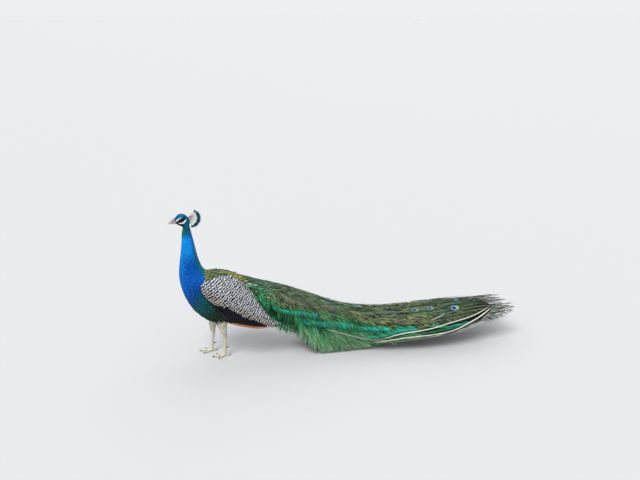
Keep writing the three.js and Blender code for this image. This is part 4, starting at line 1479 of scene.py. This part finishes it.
        def strip(shader):
            base = shader.ramp(shader.read("tone"), [
                (0.0, tint("12443c")), (0.30, look.emerald), (0.70, look.turquoise), (1.0, tint("2fb5a8")),
            ])
            return streaked(shader, base, 0.1)

        # Painted shadow: the near-black colour of the strips under the pale shafts.
        def dark(shader):
            return shader.mix(shader.read("along"), tint("0e1a1c"), tint("141c26"))

        shaft = mottled(30.0, look.shaft, tint("b8b4a2"))
        return {
            "top": finish_of("Train barb", top_barb, roughness=0.5, metallic=0.2),
            "side": finish_of("Hanging barb", side_barb, roughness=0.45, metallic=0.25),
            "strip": finish_of("Turquoise barb", strip, roughness=0.4, metallic=0.35),
            "dark": finish_of("Painted shadow strip", dark, roughness=0.6),
            "shaft": finish_of("Feather shaft", shaft, roughness=0.4, specular=0.3),
        }

    def choose_eyes(self, ends, top):
        """Which feathers show their eyespot: many on the top and the far side, few on the left."""
        share = ends[:, 0] / top.width(ends[:, 1])
        chance = read_off(EYE_CHANCES, share)
        chance *= smooth(0.55, 0.75, ends[:, 1]) * (ends[:, 1] < 1.56)
        chance *= np.where((share > -0.45) & (ends[:, 1] < 1.15), 0.2, 1.0)
        apart = np.hypot(*(ends[:, None] - np.array(EYESPOTS_SEEN)[None]).transpose(2, 0, 1)).min(1)
        return (rng.random(len(ends)) < chance) & (apart > 0.10)

    def covers(self, plumage, vane, top, roots):
        """Fine feathers laid back from the rump over the root of the train."""
        count = len(roots)
        size = np.interp(roots[:, 1], [0.22, 0.62], [0.034, 0.060]) * rng.uniform(0.8, 1.2, count)
        share = roots[:, 0] / top.width(roots[:, 1])
        turn = np.radians(rng.normal(0, 7, count) + 16 * share)
        tone = np.clip(rng.normal(0.42, 0.22, count), 0, 1)
        high = np.interp(roots[:, 1], [0.22, 0.34, 0.62], [0.008, 0.009, 0.006])
        high += rng.uniform(0, 0.001, count)
        rows = vane.rows[None]
        x = roots[:, :1] + size[:, None] * rows * np.sin(turn)[:, None]
        y = roots[:, 1:] + size[:, None] * rows * np.cos(turn)[:, None]
        at, up = top.find(x, y)
        at = at + up * (high[:, None] + 0.06 * size[:, None] * rows)[..., None]
        lay_paths(plumage, vane, at, up, 0.0030 + 0.04 * size, train_patches(roots, vane), tone=tone)

    def filaments(self, plumage, skin, bed):
        """Loose green filaments over the flank behind the wing and down the sides of the train's root."""
        vane = Vane([1.0, 0.8], 3)

        def behind_wing(centre, normal):
            x, y, z = centre.T
            marked = np.maximum(stroke(y, z, WHITE_STREAK), stroke(y, z, BROWN_PATCH)) > -0.002
            free = (zone_of(centre) == 0) & (y > 0.13) & (np.abs(x) > 0.015) & ~marked
            return free * (z < mantle_line(y) + 0.008) * (z > 0.22)

        def train_side(centre, normal):
            _, y, z = centre.T
            side_on = (z > read_off(CURTAIN_TOP, y) - 0.075) * (normal[:, 2] < 0.85) * (normal[:, 2] > -0.2)
            return (y > 0.26) * (y < 0.80) * side_on

        for ground, inside, gap, long, base in (
            (skin, behind_wing, 0.0042, 0.026, 0.002),
            (bed, train_side, 0.0050, 0.036, 0.009),
        ):
            roots, _ = ground.scatter(lambda p: np.full(len(p), gap), inside)
            _, y, z = roots.T
            count = len(roots)
            steep = np.interp(y, [0.14, 0.30, 0.60, 0.80], [-2.6, -1.6, -1.1, -0.7])
            heading = np.stack([np.zeros(count), np.ones(count), steep], 1)
            fleck = (stroke(y, z, FLECKS) > 0) & (rng.random(count) < 0.45)
            high = z - np.interp(y, [0.20, 0.30, 0.45, 0.80], [0.36, 0.33, 0.275, 0.20])
            glow = rng.uniform(-0.9, 0.30, count) - 0.35 * smooth(-0.012, 0.020, high)
            rise = rng.uniform(0.02, 0.10, count)[:, None]
            tone = np.clip(rng.normal(0.30, 0.25, count), 0, 1)
            brown = (z > read_off(GREEN_TOP, y) + rng.normal(0, 0.006, count)) & (y > 0.26)
            tone = np.where(brown, -rng.uniform(0.7, 1.0, count), tone)
            glow = np.where(fleck, 2.0, np.where(brown, 0.0, glow))
            lay_vanes(plumage, ground, vane, roots, heading, long, 0.0030, lift=rise, base=base, yaw=9.0,
                      tone=tone, spread=0.3, glow=glow)

    def lay_line(self, plumage, ground, line, width, lift):
        """Lays one long shaft over the train along a line, resting on the train where it is near."""
        vane = Vane([0.6, 0.9, *[1.0] * 14, 0.85, 0.6], 3)
        at = rounded(line, len(vane.rows))
        near, up, apart = ground.nearest(at)
        rest = (apart < 0.015)[:, None]
        drop = TRAIN_REAR_DROP * smooth(0.95, 1.30, at[:, 1]) * np.clip(up[:, 2], 0, 1)
        at = np.where(rest, near + up * (lift - drop)[:, None], at)
        up = np.where(rest, up, (0.3 * np.sign(line[0, 0]), 0, 1))
        for _ in range(2):
            at[1:-1] = (at[:-2] + at[1:-1] * 2 + at[2:]) / 4
            up[1:-1] = unit(up[:-2] + up[1:-1] * 2 + up[2:])
        spots = train_patches(at[:1, :2], vane)
        lay_paths(plumage, vane, at[None], up[None], width, spots, cup=0.1, ridge=0.5)

    def curtain(self, ground, side):
        """The barbs that hang from one side in locks: dark in painted shade beneath, green over them, pale on
        top.
        """
        plumage = Plumage()
        barb = Vane([0.9, 1.0, 0.8, 0.5], 3)
        for locks, each, depth, share_cut, spread, longest, glow_low, glow_high in LOCKS:
            heart = rng.uniform(0.18, 1.28, locks) if depth < 0 else rng.triangular(0.30, 0.62, 1.15, locks)
            start = rng.uniform(0.15, 1.0, locks) if depth < 0 else rng.uniform(0.25, 0.75, locks)
            trim = share_cut * rng.uniform(0.70, 1.12, locks)
            bright = rng.uniform(glow_low, glow_high, locks)
            lean = rng.normal(0, 0.08, locks) - 0.30 * (longest > 0.15)
            which = np.repeat(np.arange(locks), each)
            count = len(which)
            y = heart[which] + rng.normal(0, spread, count)
            low, high = read_off(HEM, y), read_off(CURTAIN_TOP, y)
            z = low + (high - low) * np.clip(start[which] + rng.normal(0, 0.07, count), 0.08, 1)
            fall = np.maximum(np.radians(read_off(FALL, y)) + lean[which], 0.15)
            size = (z - low) / np.sin(fall) * trim[which] * rng.uniform(0.85, 1.1, count) + 0.008
            size = np.minimum(size, longest)
            lift = depth + 0.003 * rng.random(count)
            hanging(plumage, barb, ground, side, y, z, size, fall, lift, rng.uniform(0.0013, 0.0024, count),
                    heart[which] + size * np.cos(fall), tone=np.clip(rng.normal(0.35, 0.2, count), 0, 1),
                    glow=bright[which] + rng.normal(0, 0.12, count))
        return plumage

    def bands(self, ground, side):
        """Turquoise barbs that hang close together from the shafts on the side."""
        plumage = Plumage()
        barb = Vane([1.0, 0.8], 3)
        for line, tall, slope in TURQUOISE_BANDS:
            first, last = line[0][0], line[-1][0]
            count = int((last - first) / 0.0008)
            y = rng.uniform(first, last, count)
            z = read_off(line, y) + tall * rng.uniform(-0.1, 0.5, count)
            fall = np.radians(slope + rng.normal(0, 7, count))
            size = (tall * rng.uniform(0.6, 1.1, count) + 0.006) / np.maximum(np.sin(fall), 0.35)
            clump = rng.random(200)[((y + 0.1 * z) / 0.010).astype(int)]
            tone = np.clip(clump * 0.9 + rng.normal(0.22, 0.15, count), 0, 1)
            hanging(plumage, barb, ground, side, y, z, size, fall, 0.0045 + 0.003 * rng.random(count),
                    rng.uniform(0.0014, 0.0024, count), tone=tone)
        return plumage

    def eyespots(self, plumage, top, ends, lift, size, vivid):
        """Laid over the ends of the train's feathers: a disc of a few faces each, a little domed."""
        sides = 16
        around = np.arange(sides) / sides * 2 * math.pi
        rim = [(radius * math.sin(a), radius * math.cos(a)) for radius in (0.5, 1.0) for a in around]
        local = np.array([(0.0, 0.0), *rim])
        pairs = [(1 + k, 1 + (k + 1) % sides) for k in range(sides)]
        faces = [(0, after, here) for here, after in pairs]
        faces += [(here, after, after + sides, here + sides) for here, after in pairs]
        faces.append(tuple(1 + sides + k for k in range(sides)))
        count = len(ends)
        scale = size / 2 * rng.uniform(0.9, 1.05, count) * np.interp(vivid, [0.3, 1.0], [0.72, 1.0])
        scale = scale[:, None]
        x = ends[:, :1] + scale * local[None, :, 0] * 0.84
        y = ends[:, 1:] - scale * 0.9 + scale * local[None, :, 1]
        at, up = top.find(x, y)
        at[..., 0] = x
        dome = 0.0014 * (1 - (local**2).sum(1))
        tilt = -0.16 * smooth(-0.02, 0.04, ends[:, :1]) * scale * local[None, :, 0]
        points = at + up * (lift[:, None] + dome[None] + tilt)[..., None]
        plumage.add(points, faces, cells(count, 0.5 + local * 0.45), across=local[:, 0], along=local[:, 1],
                    shade=rng.random(count), tone=vivid)

    def eyespot_finish(self, look):
        def paint(shader):
            across, along = shader.read("across"), shader.read("along")
            reach = shader.distance(across, shader.math("ADD", along, 0.12))
            heart = shader.linear(shader.math("ABSOLUTE", across), -0.30, shader.times(along, 0.22))
            inner = shader.math("ADD", reach, heart)
            base = shader.ramp(inner, [
                (0.22, look.navy), (0.32, look.navy), (0.37, tint("4f93ad")), (0.52, tint("5b9fae")),
                (0.58, tint("74765a")), (0.70, look.copper), (0.76, tint("7d9268")), (0.88, tint("969a66")),
                (1.0, tint("6f7f54")),
            ])
            pale = shader.times(shader.between(along, 0.25, 0.75), shader.between(inner, 0.36, 0.46))
            base = shader.mix(shader.times(pale, 0.75), base, tint("a3b08c"))
            base = shader.mix(shader.minus(1.0, shader.read("tone")), base, tint("3e5a50"))
            return shader.lit(base, shader.linear(shader.read("shade"), 0.25, 0.85))

        return finish_of("Eyespot", paint, roughness=0.45, metallic=0.15)


# ---------------- head, crest and legs


def settle(name, place, stretch):
    """Names the new primitive and puts its stretch, and its place on the bird, in its mesh."""
    made = bpy.context.active_object
    made.name = name
    made.scale = stretch
    made.location = Vector(place) + Vector(FEET)
    bpy.ops.object.transform_apply(location=True, rotation=True, scale=True)
    bpy.ops.object.shade_smooth()
    return made


def ball(name, place, radius, stretch=(1, 1, 1), turn=0.0):
    """A smooth ball."""
    deselect()
    bpy.ops.mesh.primitive_uv_sphere_add(segments=24, ring_count=16, radius=radius, rotation=(turn, 0, 0))
    return settle(name, place, stretch)


def ring(name, place, radius, thickness, stretch):
    """A smooth ring that faces sideways."""
    deselect()
    sizes = {"major_segments": 32, "minor_segments": 8, "major_radius": radius, "minor_radius": thickness}
    bpy.ops.mesh.primitive_torus_add(rotation=(0, math.pi / 2, 0), **sizes)
    return settle(name, place, (stretch, 1, 1))


def join(objects, name):
    """One object from several."""
    deselect()
    for item in objects:
        item.select_set(True)
    bpy.context.view_layer.objects.active = objects[0]
    bpy.ops.object.join()
    objects[0].name = name
    return objects[0]


class PEACOCK_OT_head(bpy.types.Operator):
    """Makes the eyes with their lids, and the bill with its nostrils"""

    bl_idname = "peacock.head"
    bl_label = "Eyes and bill"

    def execute(self, context):
        look = context.scene.peacock_colours

        def iris(shader):
            _, y, z = shader.axes()
            reach = shader.distance(shader.minus(y, float(EYE[1])), shader.minus(z, float(EYE[2])))
            return shader.mix(shader.between(reach, 0.0028, 0.0032), tint("010101"), look.iris)

        eye_finish = finish_of("Eye", iris, roughness=0.06, specular=0.12)
        lid_finish = finish_of("Eyelid", mottled(500.0, tint("3c4143"), tint("1e2224")), roughness=0.6)
        for side, word in SIDES:
            eyeball, eyelid = ((side * (EYE_OUT + out), EYE[1], EYE[2]) for out in (0.0004, 0.0038))
            dressed(ball(f"eyeball_{word}", eyeball, EYE_RADIUS * 0.97), eye_finish, [f"eye_{word}"])
            dressed(ring(f"eyelid_{word}", eyelid, 0.0063, 0.0012, 0.9), lid_finish)

        def horn(shader):
            _, y, z = shader.axes()
            high = shader.times(shader.between(z, 0.762, 0.770), shader.between(y, -0.212, -0.190))
            base = shader.mix(high, look.horn, tint("777a76"))
            base = shader.mix(shader.between(y, -0.205, -0.228), base, tint("cfcab4"))
            gape = shader.between(shader.apart(z, 0.760), 0.004, 0.001)
            pink = shader.times(gape, shader.between(y, -0.215, -0.19))
            return shader.mix(shader.linear(pink, 0.55, 0.05), base, tint("cf9f98"))

        horn_finish = finish_of("Horn", horn, roughness=0.35, specular=0.4)
        for node, bend in (("bill_upper", (0, -0.0010, -0.0034)), ("bill_lower", (0, 0.0065, 0.0004))):
            bill = even_copy([node], f"{node}_horn", 0.0007, 8)
            at = vertices_of(bill)
            move_to(bill, at + smooth(-0.208, -0.230, at[:, 1])[:, None] * bend)
            dressed(bill, horn_finish, [node])
        bill = Ground(bpy.data.objects["bill_upper_horn"])
        places = [on_side(bill, side, [(-0.196, 0.7655)])[0] for side, _ in SIDES]
        nostrils = [ball("nostril", tuple(place), 0.0024, (0.35, 1.5, 0.50), 0.25) for place in places]
        dressed(join(nostrils, "nostrils"), finish_of("Nostril", tint("1c1c1a"), roughness=0.8))
        return {"FINISHED"}


CREST_ROOT = np.array([0.0, -0.119, 0.786])


class PEACOCK_OT_crest(bpy.types.Operator):
    """Makes the crest: bare shafts in a fan, each with a small web at its end"""

    bl_idname = "peacock.crest"
    bl_label = "Crest"

    def execute(self, context):
        count = 31
        share = np.linspace(0, 1, count)
        angle = np.radians(44 - 118 * share) + rng.normal(0, 0.02, count)
        reach = (0.045 + 0.006 * share)[:, None, None]
        aside = np.tile([0.15, -0.15, 0.03, 0.10, -0.06], 7)[:count]
        way = unit(np.stack([aside, np.cos(angle), np.sin(angle)], 1))[:, None]
        shaft, fan = Vane([1.0, 0.9, 0.8], 3), Vane([0.45, 0.8, 1.0, 0.95, 0.6], 5)
        bow = np.sin(math.pi * share)
        tall = (0.011 + 0.012 * bow**0.8)[:, None, None]
        shafts, webs = Plumage(), Plumage()
        for coat, vane, start, long, width, cup, ridge in (
            (shafts, shaft, 0.0, reach, 0.0017, 0.0, 0.8),
            (webs, fan, reach * 0.90, tall, 0.0075 + 0.003 * bow, 0.1, 0.2),
        ):
            paths = CREST_ROOT + way * (start + long * vane.rows[None, :, None])
            ups = np.tile([1.0, 0.0, 0.0], (count, len(vane.rows), 1))
            lay_paths(coat, vane, paths, ups, width, cells(count, vane.shape), cup=cup, ridge=ridge)

        def teal(shader):
            base = shader.mix(shader.between(shader.read("along"), 0.2, 0.9), tint("0a2a30"), tint("125c78"))
            return shader.lit(base, web(shader, 0.3)["Light"])

        bare_shaft = finish_of("Crest shaft", tint("a39c92"), roughness=0.5)
        shafts.piece("crest_shafts", bare_shaft, "crest", ["crest"])
        webs.piece("crest_webs", finish_of("Crest web", teal, roughness=0.45, metallic=0.2), "crest")
        return {"FINISHED"}


def scaled(obj, distance, pitch, depth, front):
    """Raises rows of scales on a leg: along a distance, a pitch apart, where front is near 1."""
    phase = distance / pitch % 1.0
    rise = depth * (1 - phase) ** 0.6 * front
    groove = np.clip(1 - np.minimum(phase, 1 - phase) / 0.16, 0, 1) * (0.35 + 0.65 * front)
    move_to(obj, vertices_of(obj) + read_vertices(obj, "normal") * rise[:, None])
    give(obj, "groove", groove)


TOES = ("middle", "inner", "outer", "hind")


class PEACOCK_OT_legs(bpy.types.Operator):
    """Makes the scaled shanks and toes, the claws and the spurs"""

    bl_idname = "peacock.legs"
    bl_label = "Legs and feet"

    def execute(self, context):
        look = context.scene.peacock_colours

        def scales(shader):
            base = shader.mix(shader.between(shader.noise(900.0), 0.3, 0.7), look.scute, tint("ada291"))
            return shader.mix(shader.times(shader.read("groove"), 0.6), base, tint("6f6658"))

        scale_finish = finish_of("Leg scale", scales, roughness=0.5, specular=0.3)
        claw_finish = finish_of("Claw", tuple(look.claw), roughness=0.35, specular=0.4)
        for _, side in SIDES:
            low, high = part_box(f"shank_{side}")
            ankle = np.array([(low[0] + high[0]) / 2, (low[1] + high[1]) / 2, 0.018]) - FEET
            shank = even_copy([f"shank_{side}"], f"shank_scales_{side}", 0.0012, 5)
            front = smooth(-0.1, 0.6, -read_vertices(shank, "normal")[:, 1])
            scaled(shank, vertices_of(shank)[:, 2], 0.0052, 0.0006, front)
            dressed(shank, scale_finish, [f"shank_{side}"])

            foot = even_copy([f"foot_{side}"], f"toe_scales_{side}", 0.0011, 5)
            out = np.linalg.norm((vertices_of(foot) - ankle)[:, :2], axis=1)
            scaled(foot, out, 0.0040, 0.0005, smooth(0.2, 0.8, read_vertices(foot, "normal")[:, 2]))
            dressed(foot, scale_finish, [f"foot_{side}"])

            claws = [(f"claw_{side}_{toe}", f"claw_horn_{side}_{toe}", 0.0006) for toe in TOES]
            for node, name, face in (*claws, (f"spur_{side}", f"spur_horn_{side}", 0.0008)):
                dressed(even_copy([node], name, face, 4), claw_finish, [node])
        return {"FINISHED"}


# ---------------- floor, light and camera


# Each lamp's name, the way to it, its spread in degrees and its power.
LAMPS = (
    ("Key light", (0.5, -0.45, 0.95), 30.0, 2.9),
    ("Fill light", (-0.8, 0.4, 0.8), 60.0, 0.7),
)
# The camera's place, how far it looks down and to the side, in degrees, and its lens in millimetres.
CAMERA_PLACE = (3.263, -0.750, 1.78)
CAMERA_PITCH = 19.25
CAMERA_TURN = 10.0
CAMERA_LENS = 37.125


class PEACOCK_OT_stage(bpy.types.Operator):
    """Sets the floor, the soft lights and the camera"""

    bl_idname = "peacock.stage"
    bl_label = "Floor, lights and camera"

    def execute(self, context):
        look = context.scene.peacock_colours
        deselect()
        bpy.ops.mesh.primitive_plane_add(size=400, location=(0, 0, -0.0005))
        floor = context.active_object
        floor.name = "Floor"
        floor.data.materials.append(finish_of("Floor", tuple(look.floor), roughness=0.9, specular=0.2))

        world = bpy.data.worlds.new("Soft light")
        world.use_nodes = True
        background = world.node_tree.nodes["Background"].inputs
        background["Color"].default_value = (0.93, 0.944, 0.968, 1.0)
        background["Strength"].default_value = 0.92
        context.scene.world = world
        for name, way, spread, power in LAMPS:
            bpy.ops.object.light_add(type="SUN", location=way)
            lamp = context.active_object
            lamp.name = name
            lamp.data.angle = math.radians(spread)
            lamp.data.energy = power
            lamp.rotation_euler = Vector(way).to_track_quat("Z", "Y").to_euler()
        context.scene.view_settings.view_transform = "Standard"

        bpy.ops.object.camera_add(location=CAMERA_PLACE)
        camera = context.active_object
        pitch, turn = math.radians(CAMERA_PITCH), math.radians(CAMERA_TURN)
        ahead = (-math.cos(turn) * math.cos(pitch), math.sin(turn) * math.cos(pitch), -math.sin(pitch))
        camera.rotation_euler = Vector(ahead).to_track_quat("-Z", "Y").to_euler()
        camera.data.lens = CAMERA_LENS
        camera.data.sensor_width = 36.0
        context.scene.camera = camera
        return {"FINISHED"}


# ---------------- the add-on

OPERATORS = [
    PEACOCK_OT_skin, PEACOCK_OT_coat, PEACOCK_OT_wings, PEACOCK_OT_tail, PEACOCK_OT_train,
    PEACOCK_OT_head, PEACOCK_OT_crest, PEACOCK_OT_legs, PEACOCK_OT_stage,
]


class PEACOCK_PT_panel(bpy.types.Panel):
    """Lists the steps that dress the peacock"""

    bl_idname = "PEACOCK_PT_panel"
    bl_label = "Peacock"
    bl_space_type = "VIEW_3D"
    bl_region_type = "UI"
    bl_category = "Peacock"

    def draw(self, context):
        for step in OPERATORS:
            self.layout.operator(step.bl_idname)
        for group in (context.scene.peacock_sizes, context.scene.peacock_colours):
            for name in group.bl_rna.properties.keys():
                if name not in ("rna_type", "name"):
                    self.layout.prop(group, name)


CLASSES = [PeacockColours, PeacockSizes, *OPERATORS, PEACOCK_PT_panel]


def register():
    for item in CLASSES:
        bpy.utils.register_class(item)
    bpy.types.Scene.peacock_colours = PointerProperty(type=PeacockColours)
    bpy.types.Scene.peacock_sizes = PointerProperty(type=PeacockSizes)


def unregister():
    del bpy.types.Scene.peacock_sizes
    del bpy.types.Scene.peacock_colours
    for item in reversed(CLASSES):
        bpy.utils.unregister_class(item)


def main():
    register()
    make_groups(bpy.context.scene.peacock_colours)
    for step in OPERATORS:
        group, name = step.bl_idname.split(".")
        getattr(getattr(bpy.ops, group), name)()


if __name__ == "__main__":
    main()
